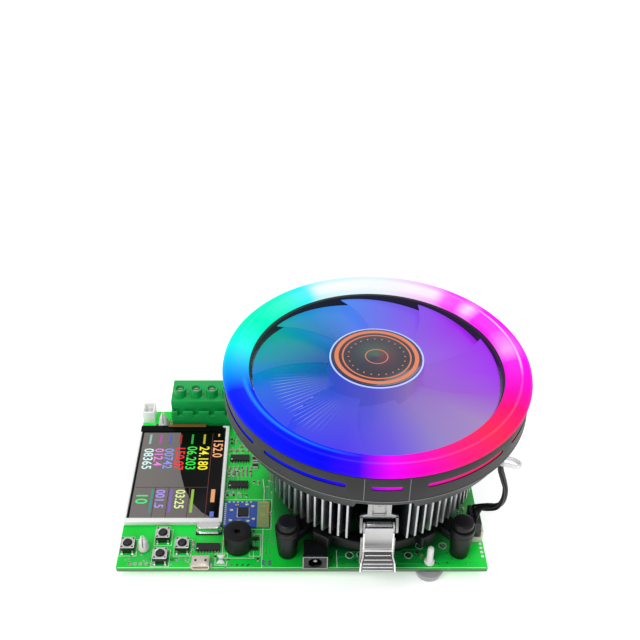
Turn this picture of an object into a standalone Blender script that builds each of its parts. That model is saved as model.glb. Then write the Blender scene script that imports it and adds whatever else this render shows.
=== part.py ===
"""A bench electronic load: a colour display, buttons and connectors on a bare circuit board, with a
down-blowing round cooler latched over the power transistor in a plastic bracket.

Every size is in millimetres on the board: X right from its middle, Y back from its front edge and
Z up from its top face. One empty, load_frame, carries the object so that its origin is the middle
of the floor under it. Each moving piece has its own origin on the axis that it moves about.
"""

import math

import bmesh
import bpy
from mathutils import Matrix, Vector

MM = 0.001
GAP = 0.3  # clearance between neighbouring solids
RUN = 0.35  # clearance round a pin that turns or slides

# Circuit board
BOARD_W = 154.0
BOARD_D = 96.0
BOARD_T = 1.6
BOARD_CORNER = 1.0

# Snap-in nylon feet, under the board
FOOT_H = 4.5
FOOT_TOP_R = 6.5
FOOT_BASE_R = 5.1
FOOT_STEM_R = 1.7
FOOT_TIP_R = 1.35
FOOT_TIP_H = 9.8
FOOT_PLACES = {
    "foot_front_left": (-66.5, 10.5),
    "foot_back_left": (-66.5, 86.2),
    "foot_front_right": (53.0, 3.3),
    "foot_back_right": (53.0, 92.7),
}

# Colour display
DISPLAY_W = 42.72
DISPLAY_D = 60.26
DISPLAY_T = 2.3
DISPLAY_FRONT = 22.9
DISPLAY_BORDER = 1.0
DISPLAY_RIM_FRONT = 2.4
DISPLAY_RIM_RIGHT = 1.6
PANEL_RECESS = 1.5
PANEL_T = 1.1
FLEX_W = 18.0
FLEX_T = 0.3
FLEX_X = -54.6

# Pluggable terminal
POLES = 4
POLE_PITCH = 7.62
POLE_FIRST_X = -58.0
TERMINAL_END = 4.2  # from the outer pole to the end of the housing
HEADER_FRONT = 85.2
HEADER_BACK = 95.9
HEADER_H = 9.5
HEADER_BACK_H = 5.0
HEADER_WALL = 1.1
HEADER_FLOOR = 1.6
NOTCH_W = 2.6
NOTCH_H = 2.6
CONTACT_PIN = 0.9
CONTACT_PIN_TOP = 5.2
PLUG_STEP = 2.2  # the plug's face stands this far behind the header's
PLUG_TOP = 14.4
PLUG_BACK = 103.0
PLUG_ROOF = 0.7
TOWER_R = 2.9
TOWER_TOP = 18.7
TOWER_Y = 92.2
CLAMP_W = 4.8
CLAMP_D = 4.4
CLAMP_H = 5.0
CLAMP_WALL = 0.7
CLAMP_TRAVEL = 2.0
WIRE_HOLE = 4.8
SCREW_HEAD_R = 1.8
SCREW_HEAD_H = 1.6
SCREW_R = 1.3
SCREW_SINK = 0.9

# Small parts on the board
SENSOR_SOCKET = (-76.7, 87.6, 5.8, 7.4)
SENSOR_H = 7.0
SENSOR_WALL = 0.8
MODULE_W = 19.8
MODULE_D = 14.6
MODULE_T = 0.8
MODULE_FRONT = 21.5
MODULE_CHIP = 4.6
MODULE_CHIP_H = 0.9
BUZZER_X = -26.8
BUZZER_Y = 12.0
BUZZER_R = 5.9
BUZZER_H = 9.5
BUZZER_HOLE_R = 1.2
USB_X = -41.9
USB_W = 7.5
USB_H = 2.6
USB_D = 5.6
USB_OVERHANG = 0.6
USB_SHELL = 0.35
CRYSTAL_X = -BOARD_W / 2 + DISPLAY_W - 5.42
CRYSTAL_Y = 20.1
CRYSTAL_W = 11.2
CRYSTAL_D = 4.6
CRYSTAL_H = 3.9
CHIP_BODY_D = 3.9
CHIP_H = 1.5
CHIP_PITCH = 1.27
CHIP_LEAD = 0.45
CHIP_SET = 5.78  # the two upper chips' middle, from the display's right edge
CHIP_PLACES = {
    "serial_chip": (-39.5, 10.7),
    "driver_chip": (-BOARD_W / 2 + DISPLAY_W + CHIP_SET, 46.4),
    "converter_chip": (-BOARD_W / 2 + DISPLAY_W + CHIP_SET, 63.0),
}
CHIP_WIDTHS = {"serial_chip": 10.16, "driver_chip": 8.89, "converter_chip": 8.89}

# Tact switches
BUTTON = 6.0
BUTTON_H = 3.5
BUTTON_KEY_R = 1.65
BUTTON_KEY_TOP = 4.3
BUTTON_FLANGE_R = 2.1
BUTTON_FLANGE_H = 0.8
BUTTON_TRAVEL = 0.25
BUTTON_PLACES = {
    "left": (-73.2, 11.1),
    "up": (-58.9, 16.6),
    "down": (-58.9, 5.6),
    "right": (-50.2, 11.1),
}

# Power jack
JACK_X = 5.5
JACK_W = 10.4
JACK_D = 9.6
JACK_H = 7.7
JACK_FLANGE = 1.4
JACK_BORE_R = 2.9
JACK_PIN_R = 1.0
JACK_PIN_SET = 1.0

# Fan connector
FAN_PLUG_X = 73.0
FAN_PLUG_Y = 19.1
FAN_PINS = 4
FAN_PIN_PITCH = 2.54
FAN_PIN = 0.64
FAN_HEADER_W = 5.8
FAN_HEADER_H = 3.2
FAN_PLUG_W = 4.5
FAN_PLUG_TOP = 12.0

# Cooler
COOLER_X = 30.0
COOLER_Y = 44.5
POST_PITCH = 72.0
CORE_R = 19.0
CORE_BOTTOM = 5.6
FIN_SET = 5.8  # the fins end this far inside the fan's duct
FIN_FORK_R = 31.0
FIN_SLANT_R = 31.0
FIN_BOTTOM = 11.3
FIN_TIP_BOTTOM = 18.0
FIN_TOP = 48.5
FIN_STEMS = 40
FIN_STEM_T = 1.5
FIN_BRANCH_T = 0.9
FIN_GAP_HALF = 15.0  # degrees left without fins at the front and the back, for the clip

# Transistor pressed by the cooler's core
TRANSISTOR_W = 15.9
TRANSISTOR_D = 20.8
TRANSISTOR_LEAD = 11.0
TRANSISTOR_LEAD_PITCH = 5.45

# Bracket
RING_R = 40.0
RING_IN_R = 34.0
RING_BOTTOM = 5.5
RING_TOP = 10.5
ARM_W = 8.0
ARM_BOTTOM = 8.5
ARM_TOP = 13.0
POST_TOP_R = 5.1
POST_BASE_R = 3.9
POST_TOP = 16.6
COLLET_R = 2.0
COLLET_BARB_R = 2.5
COLLET_DROP = 1.9  # below the board's underside
LUG_W = 8.0
LUG_OUT = 4.2  # from the ring
LUG_BOTTOM = 8.0
LUG_TOP = 11.0
BLOCK_ANGLE = 31.0
BLOCK_W = 7.6
BLOCK_OUT = 4.0
BLOCK_BOTTOM = 7.2
BLOCK_TOP = 13.0

# Push pins in the bracket's posts
SHANK_R = 1.0
SHANK_TOP = 18.2
SHANK_TIP = -3.8
KNOB_R = 4.35
KNOB_TOP = 20.3

# Latch
STRAP_T = 1.0
STRAP_W = 9.2
STRAP_FRONT = COOLER_Y - RING_R - LUG_OUT - 1.3
STRAP_END = 32.6
EAR_HALF = 6.5
EAR_T = 1.0
PIVOT_Y = STRAP_FRONT - 1.6
PIVOT_Z = 28.6
PIVOT_R = 0.7
CRANK = 2.0
CRANK_LEAN = 8.0  # degrees past the dead centre
CRANK_R = 0.6
BARREL_R = 1.5
LEVER_HALF = 6.1
LEVER_T = 0.8
CHEEK_T = 0.75
HOOK_HALF = 6.9
HOOK_NECK_HALF = 4.9
HOOK_T = 0.8
HOOK_REACH = 4.1

# Fan
RING_LIGHT_PROUD = 0.6  # past the shroud, all round
RING_LIGHT_W = 10.7
RING_LIGHT_TOP = 75.2
SHROUD_R = 61.6
SHROUD_TOP = 71.0
SHROUD_STEP = 59.4
SHROUD_BOTTOM = 51.2
SHROUD_TAPER = 4.0
SHROUD_WALL = 1.5
DUCT_SET = 10.8  # from the shroud's outside to the duct's inside
DUCT_BOTTOM = 54.0
WEB_Z = 61.6
WEB_T = 1.2
SLOT_BOTTOM = 65.0
SLOT_TOP = 67.0
SLOTS = ((-5.4, 5.4), (13.8, 46.3), (52.0, 84.5))  # degrees from the front, each mirrored
ARCH_HALF = 10.5
ARCH_TOP = 56.0
SPOKES = 4
SPOKE_ANGLE = -24.0
SPOKE_W = 4.0
SPOKE_T = 2.4
PAD_L = 9.0  # where a spoke rests on the fin tops
MOTOR_BASE_R = 20.0
BEARING_R = 3.4
BEARING_TOP = 70.5
LED_BOARD_T = 1.2
HUB_R = 19.5
HUB_TOP = 76.2
HUB_BOTTOM = 58.2
HUB_WALL = 1.7
BLADES = 9
BLADE_CLEARANCE = 0.8
BLADE_TOP = 70.5
BLADE_DROP = 10.5
BLADE_SPAN = 37.0
BLADE_SWEEP = 14.0
BLADE_T = 1.1
BLADE_SHARES = (0.31, 0.64)  # where a blade is bent, from the hub to its tip
SHAFT_R = 1.5
STATOR_R = 14.5
STATOR_BOTTOM = 57.0
STATOR_TOP = 68.0
LABEL_R = 18.1
LABEL_T = 0.4

# Fan lead, from the motor's base to its plug
LEAD_R = 1.35
LEAD_ROUTE = (
    (46.9, 32.5, 52.0),
    (58.5, 27.3, 51.6),
    (70.2, 22.8, 50.4),
    (77.0, 19.0, 49.0),
    (79.0, 16.9, 46.2),
    (79.2, 15.5, 42.6),
    (80.6, 14.8, 38.2),
    (82.3, 14.6, 32.4),
    (82.6, 15.2, 25.2),
    (81.0, 16.4, 19.8),
    (77.4, 18.3, 17.2),
    (73.5, 19.0, 15.4),
)
LEAD_END = 12.3
TIE_AT = 4  # the lead's point that the tie is round
TIE_L = 12.4
TIE_D = 7.0
TIE_T = 0.8
TIE_W = 1.8
TIE_DROOP = 16.0  # degrees that its free end hangs down
TIE_LEAN = 15.0  # degrees that it leans with the lead, away from the front

ORIGIN = {}


def clear_scene():
    for obj in list(bpy.data.objects):
        bpy.data.objects.remove(obj, do_unlink=True)


def finish(name, colour, roughness, metallic=0.0, alpha=1.0):
    """A material: its colour as linear values, with roughness and metal from 0 to 1."""
    material = bpy.data.materials.new(name)
    material.use_nodes = True
    shader = material.node_tree.nodes["Principled BSDF"]
    shader.inputs["Base Color"].default_value = (*colour, 1.0)
    shader.inputs["Roughness"].default_value = roughness
    shader.inputs["Metallic"].default_value = metallic
    shader.inputs["Alpha"].default_value = alpha
    material.diffuse_color = (*colour, alpha)
    return material


# Outlines: lists of points in one plane


def arc(centre, radius, start, end, steps):
    """Points on an arc, with the angles in degrees."""
    points = []
    for i in range(steps + 1):
        angle = math.radians(start + (end - start) * i / steps)
        x = centre[0] + radius * math.cos(angle)
        y = centre[1] + radius * math.sin(angle)
        points.append((x, y))
    return points


def rounded(corners, radius, steps=4):
    """The outline through these corners, with each corner turned on an arc of this radius."""
    points = []
    for i, corner in enumerate(corners):
        here = Vector(corner)
        back = (Vector(corners[i - 1]) - here).normalized()
        ahead = (Vector(corners[(i + 1) % len(corners)]) - here).normalized()
        half = back.angle(ahead) / 2
        centre = here + (back + ahead).normalized() * radius / math.sin(half)
        first = here + back * radius / math.tan(half) - centre
        last = here + ahead * radius / math.tan(half) - centre
        for k in range(steps + 1):
            swing = first.lerp(last, k / steps).normalized() * radius
            points.append(tuple(centre + swing))
    return points


def capsule(centre, length, depth, steps):
    """The outline of a bar with round ends, lying along X."""
    radius = depth / 2
    reach = length / 2 - radius
    right = arc((centre[0] + reach, centre[1]), radius, -90, 90, steps)
    left = arc((centre[0] - reach, centre[1]), radius, 90, 270, steps)
    return right + left


def rectangle(x0, x1, y0, y1):
    return [(x0, y0), (x1, y0), (x1, y1), (x0, y1)]


def pole_places():
    return [POLE_FIRST_X + i * POLE_PITCH for i in range(POLES)]


def duct_r():
    return SHROUD_R - DUCT_SET


def fin_r():
    return duct_r() - FIN_SET


def ring_light_r():
    return SHROUD_R + RING_LIGHT_PROUD


def post_places():
    """The bracket's posts and their pins, from the front left round to the back left."""
    half = POST_PITCH / 2
    return {
        "front_left": (COOLER_X - half, COOLER_Y - half),
        "front_right": (COOLER_X + half, COOLER_Y - half),
        "back_right": (COOLER_X + half, COOLER_Y + half),
        "back_left": (COOLER_X - half, COOLER_Y + half),
    }


# Solids, added to a bmesh in millimetres


def prism(bm, outline, low, high, axis="Z"):
    """Extrudes an outline from low to high along an axis. Along X its points are (y, z), and
    along Y they are (x, z)."""
    place = {
        "X": lambda a, b, c: (c, a, b),
        "Y": lambda a, b, c: (a, c, b),
        "Z": lambda a, b, c: (a, b, c),
    }[axis]
    base = bm.faces.new([bm.verts.new(place(a, b, low)) for a, b in outline])
    grown = bmesh.ops.extrude_face_region(bm, geom=[base], use_keep_orig=True)
    moved = [item for item in grown["geom"] if isinstance(item, bmesh.types.BMVert)]
    shift = Vector(place(0, 0, high)) - Vector(place(0, 0, low))
    bmesh.ops.translate(bm, verts=moved, vec=shift)


def block(bm, x0, x1, y0, y1, z0, z1):
    prism(bm, rectangle(x0, x1, y0, y1), z0, z1)


def turned(bm, profile, centre, steps, axis="Z", closed=False):
    """Turns a profile of (radius, height) about an axis through centre. A profile that isn't
    closed starts and ends on the axis."""
    lay = {
        "X": lambda r, h: (centre[0] + h, centre[1] + r, centre[2]),
        "Y": lambda r, h: (centre[0] + r, centre[1] + h, centre[2]),
        "Z": lambda r, h: (centre[0] + r, centre[1], centre[2] + h),
    }[axis]
    verts = [bm.verts.new(lay(r, h)) for r, h in profile]
    pairs = list(zip(verts, verts[1:]))
    if closed:
        pairs.append((verts[-1], verts[0]))
    edges = [bm.edges.new(pair) for pair in pairs]
    bmesh.ops.spin(
        bm,
        geom=verts + edges,
        cent=centre,
        axis={"X": (1, 0, 0), "Y": (0, 1, 0), "Z": (0, 0, 1)}[axis],
        angle=math.tau,
        steps=steps,
        use_merge=True,
    )
    bmesh.ops.remove_doubles(bm, verts=list(bm.verts), dist=1e-5)


def ribbon(bm, stations, thickness, centre_x):
    """A bent strip of sheet metal. Each station is (y, z, half width) on its middle surface."""
    rings = []
    for i, (y, z, half) in enumerate(stations):
        before = stations[max(i - 1, 0)]
        after = stations[min(i + 1, len(stations) - 1)]
        into = Vector((y - before[0], z - before[1]))
        out = Vector((after[0] - y, after[1] - z))
        into = into.normalized() if into.length else out.normalized()
        out = out.normalized() if out.length else into
        along = (into + out).normalized()
        side = Vector((-along.y, along.x)) * thickness / 2 / max(along.dot(into), 0.5)
        ring = []
        for across, way in ((-half, 1), (half, 1), (half, -1), (-half, -1)):
            ring.append(bm.verts.new((centre_x + across, y + way * side.x, z + way * side.y)))
        rings.append(ring)
    for ring, after in zip(rings, rings[1:]):
        for k in range(4):
            n = (k + 1) % 4
            bm.faces.new((ring[k], ring[n], after[n], after[k]))
    bm.faces.new(rings[0])
    bm.faces.new(reversed(rings[-1]))


# Objects


def solid(name, build, material, origin=(0, 0, 0), parent="load_frame", smooth=False):
    """Makes an object from the shapes that build adds to a bmesh in board millimetres."""
    bm = bmesh.new()
    build(bm)
    bmesh.ops.recalc_face_normals(bm, faces=bm.faces)
    bm.transform(Matrix.Scale(MM, 4) @ Matrix.Translation(-Vector(origin)))
    mesh = bpy.data.meshes.new(name)
    bm.to_mesh(mesh)
    bm.free()
    if smooth:
        mesh.shade_smooth()
        mesh.set_sharp_from_angle(angle=math.radians(35))
    obj = bpy.data.objects.new(name, mesh)
    bpy.context.scene.collection.objects.link(obj)
    mesh.materials.append(material)
    attach(obj, origin, parent)
    return obj


def attach(obj, origin, parent):
    """Parents an object and places its origin, given on the board."""
    ORIGIN[obj.name] = Vector(origin)
    obj.parent = bpy.data.objects[parent]
    obj.location = (Vector(origin) - ORIGIN[parent]) * MM


def copy_of(source, name, origin, parent="load_frame"):
    """Another object with the same mesh and Booleans, placed by its origin."""
    obj = bpy.data.objects.new(name, source.data)
    bpy.context.scene.collection.objects.link(obj)
    attach(obj, origin, parent)
    for modifier in source.modifiers:
        add_boolean(obj, modifier.operation, modifier.object.data, modifier.name)
    return obj


def add_boolean(obj, operation, mesh, tag):
    """Adds a Boolean with a hidden helper, which rides on the object."""
    helper = bpy.data.objects.new(f"{obj.name}_{tag}", mesh)
    bpy.context.scene.collection.objects.link(helper)
    helper.parent = obj
    helper.hide_render = True
    helper.display_type = "WIRE"
    modifier = obj.modifiers.new(tag, "BOOLEAN")
    modifier.operation = operation
    modifier.object = helper


def boolean(obj, operation, build, tag):
    """Joins shapes to an object, or cuts them from it."""
    bm = bmesh.new()
    build(bm)
    bmesh.ops.recalc_face_normals(bm, faces=bm.faces)
    bm.transform(Matrix.Scale(MM, 4) @ Matrix.Translation(-ORIGIN[obj.name]))
    mesh = bpy.data.meshes.new(f"{obj.name}_{tag}")
    bm.to_mesh(mesh)
    bm.free()
    add_boolean(obj, operation, mesh, tag)


def cut(obj, build, tag="cut"):
    boolean(obj, "DIFFERENCE", build, tag)


def join(obj, build, tag="join"):
    boolean(obj, "UNION", build, tag)


# Board and feet


def main_board(material):
    def plate(bm):
        outline = rounded(rectangle(-BOARD_W / 2, BOARD_W / 2, 0, BOARD_D), BOARD_CORNER, 3)
        prism(bm, outline, -BOARD_T, 0)

    def holes(bm):
        places = [(x, y, FOOT_STEM_R + GAP) for x, y in FOOT_PLACES.values()]
        places += [(x, y, COLLET_R + GAP) for x, y in post_places().values()]
        for x, y, radius in places:
            prism(bm, arc((x, y), radius, 0, 324, 9), -BOARD_T - 1, 1)

    board = solid("main_board", plate, material)
    cut(board, holes, "holes")


def feet(material):
    under = -BOARD_T - GAP
    floor = -BOARD_T - FOOT_H
    profile = [
        (0, floor),
        (FOOT_BASE_R - 0.8, floor),
        (FOOT_BASE_R, floor + 0.8),
        (FOOT_TOP_R, under),
        (FOOT_STEM_R, under),
        (FOOT_STEM_R, GAP),
        (FOOT_STEM_R + GAP + 0.3, GAP + 0.2),
        (FOOT_TIP_R, 3.0),
        (FOOT_TIP_R, FOOT_TIP_H - 0.8),
        (FOOT_TIP_R / 2, FOOT_TIP_H),
        (0, FOOT_TIP_H),
    ]
    first = None
    for name, (x, y) in FOOT_PLACES.items():
        origin = (x, y, 0)
        if first:
            copy_of(first, name, origin)
        else:
            first = solid(name, lambda bm: turned(bm, profile, origin, 10), material, origin, smooth=True)


# Display


def display(white, glass, copper):
    left = -BOARD_W / 2
    right = left + DISPLAY_W
    front = DISPLAY_FRONT
    back = front + DISPLAY_D
    top = GAP + DISPLAY_T
    seat = (left + DISPLAY_BORDER, right - DISPLAY_RIM_RIGHT, front + DISPLAY_RIM_FRONT, back - DISPLAY_BORDER)

    def tray(bm):
        prism(bm, rounded(rectangle(left, right, front, back), 0.5, 2), GAP, top)

    def recess(bm):
        block(bm, *seat, top - PANEL_RECESS, top + 1)

    def panel(bm):
        x0, x1, y0, y1 = seat
        floor = top - PANEL_RECESS + GAP
        block(bm, x0 + GAP, x1 - GAP, y0 + GAP, y1 - GAP, floor, floor + PANEL_T)

    def flex(bm):
        bend = back + GAP + FLEX_T
        stations = [(back - DISPLAY_BORDER - 0.4, top + GAP + FLEX_T / 2, FLEX_W / 2)]
        for y, z in arc((bend - 0.6, top + GAP + FLEX_T / 2 - 0.9), 0.9, 90, 0, 4):
            stations.append((y, z, FLEX_W / 2))
        stations.append((bend + 0.3, GAP, FLEX_W / 2))
        ribbon(bm, stations, FLEX_T, FLEX_X)

    bezel = solid("display_bezel", tray, white)
    cut(bezel, recess, "recess")
    solid("display_panel", panel, glass)
    solid("display_flex", flex, copper)


# Terminal: a header on the board, and a plug that holds the screws and the rising clamps


def terminal_header(material):
    poles = pole_places()
    x0 = poles[0] - TERMINAL_END
    x1 = poles[-1] + TERMINAL_END
    y0 = HEADER_FRONT
    y1 = HEADER_BACK
    trough = (y0 + HEADER_WALL, y1 - HEADER_WALL)

    def body(bm):
        profile = [(y0, 0), (y1, 0), (y1, HEADER_BACK_H), (trough[0] + 1, HEADER_BACK_H)]
        profile += [(trough[0] + 1, HEADER_H), (y0, HEADER_H)]
        prism(bm, profile, x0, x1, "X")

    def hollow(bm):
        block(bm, x0 + HEADER_WALL, x1 - HEADER_WALL, *trough, HEADER_FLOOR, HEADER_H + 1)

    def notches(bm):
        for x in poles:
            block(bm, x - NOTCH_W / 2, x + NOTCH_W / 2, y0 - 1, trough[0] + 0.5, HEADER_H - NOTCH_H, HEADER_H + 1)

    def pins(bm):
        half = CONTACT_PIN / 2
        y = contact_y()
        for x in poles:
            block(bm, x - half, x + half, y - half, y + half, HEADER_FLOOR - 0.5, CONTACT_PIN_TOP)

    header = solid("terminal_header", body, material)
    cut(header, hollow, "trough")
    cut(header, notches, "notches")
    join(header, pins, "pins")


def contact_y():
    """Where the contacts stand, midway between the plug's front and its clamps."""
    return (HEADER_FRONT + HEADER_WALL + GAP + TOWER_Y - CLAMP_D / 2 - GAP) / 2


def clamp_rest():
    """The lowest place of a clamp's underside, with its window open to the wire hole."""
    return HEADER_BACK_H + GAP + PLUG_ROOF + GAP


def terminal_plug(material):
    poles = pole_places()
    x0 = poles[0] - TERMINAL_END
    x1 = poles[-1] + TERMINAL_END
    inside = HEADER_WALL + GAP
    face = HEADER_FRONT + PLUG_STEP
    tongue_back = HEADER_BACK - inside
    clamp_back = TOWER_Y + CLAMP_D / 2 + GAP
    floor = clamp_rest() - GAP
    wire_low = clamp_rest() + CLAMP_WALL / 2

    def body(bm):
        shelf = HEADER_BACK_H + GAP
        profile = [(face, shelf), (PLUG_BACK, shelf), (PLUG_BACK, PLUG_TOP), (face, PLUG_TOP)]
        prism(bm, profile, x0, x1, "X")

    def tongue(bm):
        low = HEADER_FLOOR + GAP
        block(bm, x0 + inside, x1 - inside, HEADER_FRONT + inside, tongue_back, low, HEADER_BACK_H + 1.5)

    def side_clearance(bm):
        """Room for the header's front wall and end walls, which rise past the shelf."""
        for a, b in ((x0 - 1, x0 + inside), (x1 - inside, x1 + 1)):
            block(bm, a, b, face - 1, HEADER_FRONT + HEADER_WALL + 1 + GAP, HEADER_BACK_H, HEADER_H + GAP)

    def towers(bm):
        for x in poles:
            prism(bm, arc((x, TOWER_Y), TOWER_R, 0, 330, 11), PLUG_TOP - 0.4, TOWER_TOP)

    def chambers(bm):
        half_w = CLAMP_W / 2 + GAP
        half_d = CLAMP_D / 2 + GAP
        for x in poles:
            block(bm, x - half_w, x + half_w, TOWER_Y - half_d, TOWER_Y + half_d, floor, PLUG_TOP - PLUG_ROOF)

    def wire_holes(bm):
        half = WIRE_HOLE / 2
        for x in poles:
            block(bm, x - half, x + half, clamp_back - 0.5, PLUG_BACK + 1, wire_low, wire_low + WIRE_HOLE)

    def screw_holes(bm):
        seat = TOWER_TOP - SCREW_SINK - SCREW_HEAD_H - GAP
        profile = [
            (0, PLUG_TOP - PLUG_ROOF - 0.5),
            (SCREW_R + GAP, PLUG_TOP - PLUG_ROOF - 0.5),
            (SCREW_R + GAP, seat),
            (SCREW_HEAD_R + GAP, seat),
            (SCREW_HEAD_R + GAP, TOWER_TOP + 1),
            (0, TOWER_TOP + 1),
        ]
        for x in poles:
            turned(bm, profile, (x, TOWER_Y, 0), 8)

    def sockets(bm):
        half = CONTACT_PIN / 2 + GAP
        y = contact_y()
        for x in poles:
            block(bm, x - half, x + half, y - half, y + half, 0, CONTACT_PIN_TOP + GAP)

    plug = solid("terminal_plug", body, material)
    join(plug, tongue, "tongue")
    join(plug, towers, "towers")
    cut(plug, chambers, "chambers")
    cut(plug, wire_holes, "wire_holes")
    cut(plug, screw_holes, "screw_holes")
    cut(plug, sockets, "sockets")
    cut(plug, side_clearance, "side_clearance")


def terminal_screws(material):
    head_top = TOWER_TOP - SCREW_SINK
    profile = [
        (0, clamp_rest() + CLAMP_H - CLAMP_WALL - 0.5),
        (SCREW_R, clamp_rest() + CLAMP_H - CLAMP_WALL - 0.5),
        (SCREW_R, head_top - SCREW_HEAD_H),
        (SCREW_HEAD_R, head_top - SCREW_HEAD_H),
        (SCREW_HEAD_R, head_top),
        (0, head_top),
    ]
    first = None
    for i, x in enumerate(pole_places()):
        name = f"terminal_screw_{i + 1}"
        origin = (x, TOWER_Y, 0)
        if first:
            copy_of(first, name, origin)
            continue
        first = solid(name, lambda bm: turned(bm, profile, origin, 10), material, origin, smooth=True)

        def slot(bm):
            block(bm, x - 3, x + 3, TOWER_Y - 0.3, TOWER_Y + 0.3, head_top - 0.7, head_top + 1)

        cut(first, slot, "slot")


def terminal_clamps(material):
    low = clamp_rest()
    high = low + CLAMP_H
    first = None
    for i, x in enumerate(pole_places()):
        name = f"terminal_clamp_{i + 1}"
        origin = (x, TOWER_Y, 0)
        if first:
            copy_of(first, name, origin)
            continue

        def cage(bm):
            half_w = CLAMP_W / 2
            half_d = CLAMP_D / 2
            block(bm, x - half_w, x + half_w, TOWER_Y - half_d, TOWER_Y + half_d, low, high)

        def window(bm):
            half = CLAMP_W / 2 - CLAMP_WALL
            block(bm, x - half, x + half, TOWER_Y - 5, TOWER_Y + 5, low + CLAMP_WALL, high - CLAMP_WALL)

        def thread(bm):
            prism(bm, arc((x, TOWER_Y), SCREW_R + GAP, 0, 330, 11), high - CLAMP_WALL - 1, high + 1)

        first = solid(name, cage, material, origin)
        cut(first, window, "window")
        cut(first, thread, "thread")


# Small parts on the board


def sensor_socket(material):
    x0, y0, width, depth = SENSOR_SOCKET
    x1 = x0 + width
    y1 = y0 + depth

    def body(bm):
        block(bm, x0, x1, y0, y1, 0, SENSOR_H)

    def hollow(bm):
        wall = SENSOR_WALL
        block(bm, x0 + wall, x1 - wall, y0 + wall, y1 - wall, 1.6, SENSOR_H + 1)

    def slots(bm):
        middle = (y0 + y1) / 2
        for y in (middle - 1.8, middle + 1.8):
            block(bm, x0 - 1, x0 + 1.2, y - 0.5, y + 0.5, 3.2, SENSOR_H + 1)

    def pins(bm):
        x = (x0 + x1) / 2
        for y in ((y0 + y1) / 2 - 1.25, (y0 + y1) / 2 + 1.25):
            block(bm, x - 0.32, x + 0.32, y - 0.32, y + 0.32, 1.1, SENSOR_H - 1)

    socket = solid("sensor_socket", body, material)
    cut(socket, hollow, "hollow")
    cut(socket, slots, "slots")
    join(socket, pins, "pins")


def radio_module(material):
    x0 = -BOARD_W / 2 + DISPLAY_W + 0.5
    y0 = MODULE_FRONT

    def card(bm):
        block(bm, x0, x0 + MODULE_W, y0, y0 + MODULE_D, GAP, GAP + MODULE_T)

    def chip(bm):
        x = x0 + MODULE_W * 0.42
        y = y0 + MODULE_D * 0.55
        half = MODULE_CHIP / 2
        top = GAP + MODULE_T
        block(bm, x - half, x + half, y - half, y + half, top - 0.2, top + MODULE_CHIP_H)

    module = solid("radio_module", card, material)
    join(module, chip, "chip")


def buzzer(material):
    profile = [
        (0, GAP),
        (BUZZER_R, GAP),
        (BUZZER_R, BUZZER_H - 0.3),
        (BUZZER_R - 0.3, BUZZER_H),
        (BUZZER_HOLE_R, BUZZER_H),
        (BUZZER_HOLE_R, BUZZER_H - 2.2),
        (0, BUZZER_H - 2.2),
    ]
    centre = (BUZZER_X, BUZZER_Y, 0)
    solid("buzzer", lambda bm: turned(bm, profile, centre, 20), material, centre, smooth=True)


def usb_socket(material):
    half = USB_W / 2
    front = -USB_OVERHANG
    back = front + USB_D
    x = USB_X

    def shell_outline(inset):
        low = GAP / 2 + inset
        high = USB_H - inset
        side = half - inset
        lower = side - 0.9
        corners = [(x - lower, low), (x + lower, low), (x + side, low + 0.9)]
        corners += [(x + side, high), (x - side, high), (x - side, low + 0.9)]
        return corners

    def shell(bm):
        prism(bm, shell_outline(0), front, back, "Y")

    def mouth(bm):
        prism(bm, shell_outline(USB_SHELL), front - 1, back - USB_SHELL - 0.6, "Y")

    def tongue(bm):
        block(bm, x - 1.9, x + 1.9, front + 0.8, back - 0.6, 1.35, 1.85)

    socket = solid("micro_usb_socket", shell, material)
    cut(socket, mouth, "mouth")
    join(socket, tongue, "tongue")


def quartz_crystal(material):
    x, y = CRYSTAL_X, CRYSTAL_Y

    def base(bm):
        half_w, half_d = CRYSTAL_W / 2, CRYSTAL_D / 2
        block(bm, x - half_w, x + half_w, y - half_d, y + half_d, 0, 0.8)

    def flange(bm):
        prism(bm, capsule((x, y), CRYSTAL_W, CRYSTAL_D - 0.1, 6), 0.6, 1.2)

    def can(bm):
        prism(bm, capsule((x, y), CRYSTAL_W - 0.9, CRYSTAL_D - 0.9, 6), 1.0, CRYSTAL_H - 0.3)

    def crown(bm):
        prism(bm, capsule((x, y), CRYSTAL_W - 1.5, CRYSTAL_D - 1.5, 6), CRYSTAL_H - 0.6, CRYSTAL_H)

    crystal = solid("quartz_crystal", base, material)
    join(crystal, flange, "flange")
    join(crystal, can, "can")
    join(crystal, crown, "crown")


def chip(name, material):
    """A small-outline chip: its leads bridge through the body, in pairs."""
    x, y = CHIP_PLACES[name]
    half_w = CHIP_WIDTHS[name] / 2
    pairs = round(CHIP_WIDTHS[name] / CHIP_PITCH)
    half_d = CHIP_BODY_D / 2
    toe = half_d + 1.0
    knee = half_d + 0.45

    def body(bm):
        block(bm, x - half_w, x + half_w, y - half_d, y + half_d, 0.25, 0.25 + CHIP_H)

    def leads(bm):
        hat = [(toe, 0), (toe, 0.25), (knee, 1.15), (-knee, 1.15), (-toe, 0.25), (-toe, 0)]
        hat += [(-knee + 0.1, 0.85), (knee - 0.1, 0.85)]
        outline = [(y + a, b) for a, b in hat]
        for i in range(pairs):
            middle = x + (i - (pairs - 1) / 2) * CHIP_PITCH
            prism(bm, outline, middle - CHIP_LEAD / 2, middle + CHIP_LEAD / 2, "X")

    part = solid(name, body, material)
    join(part, leads, "leads")


# Tact switches


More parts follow.
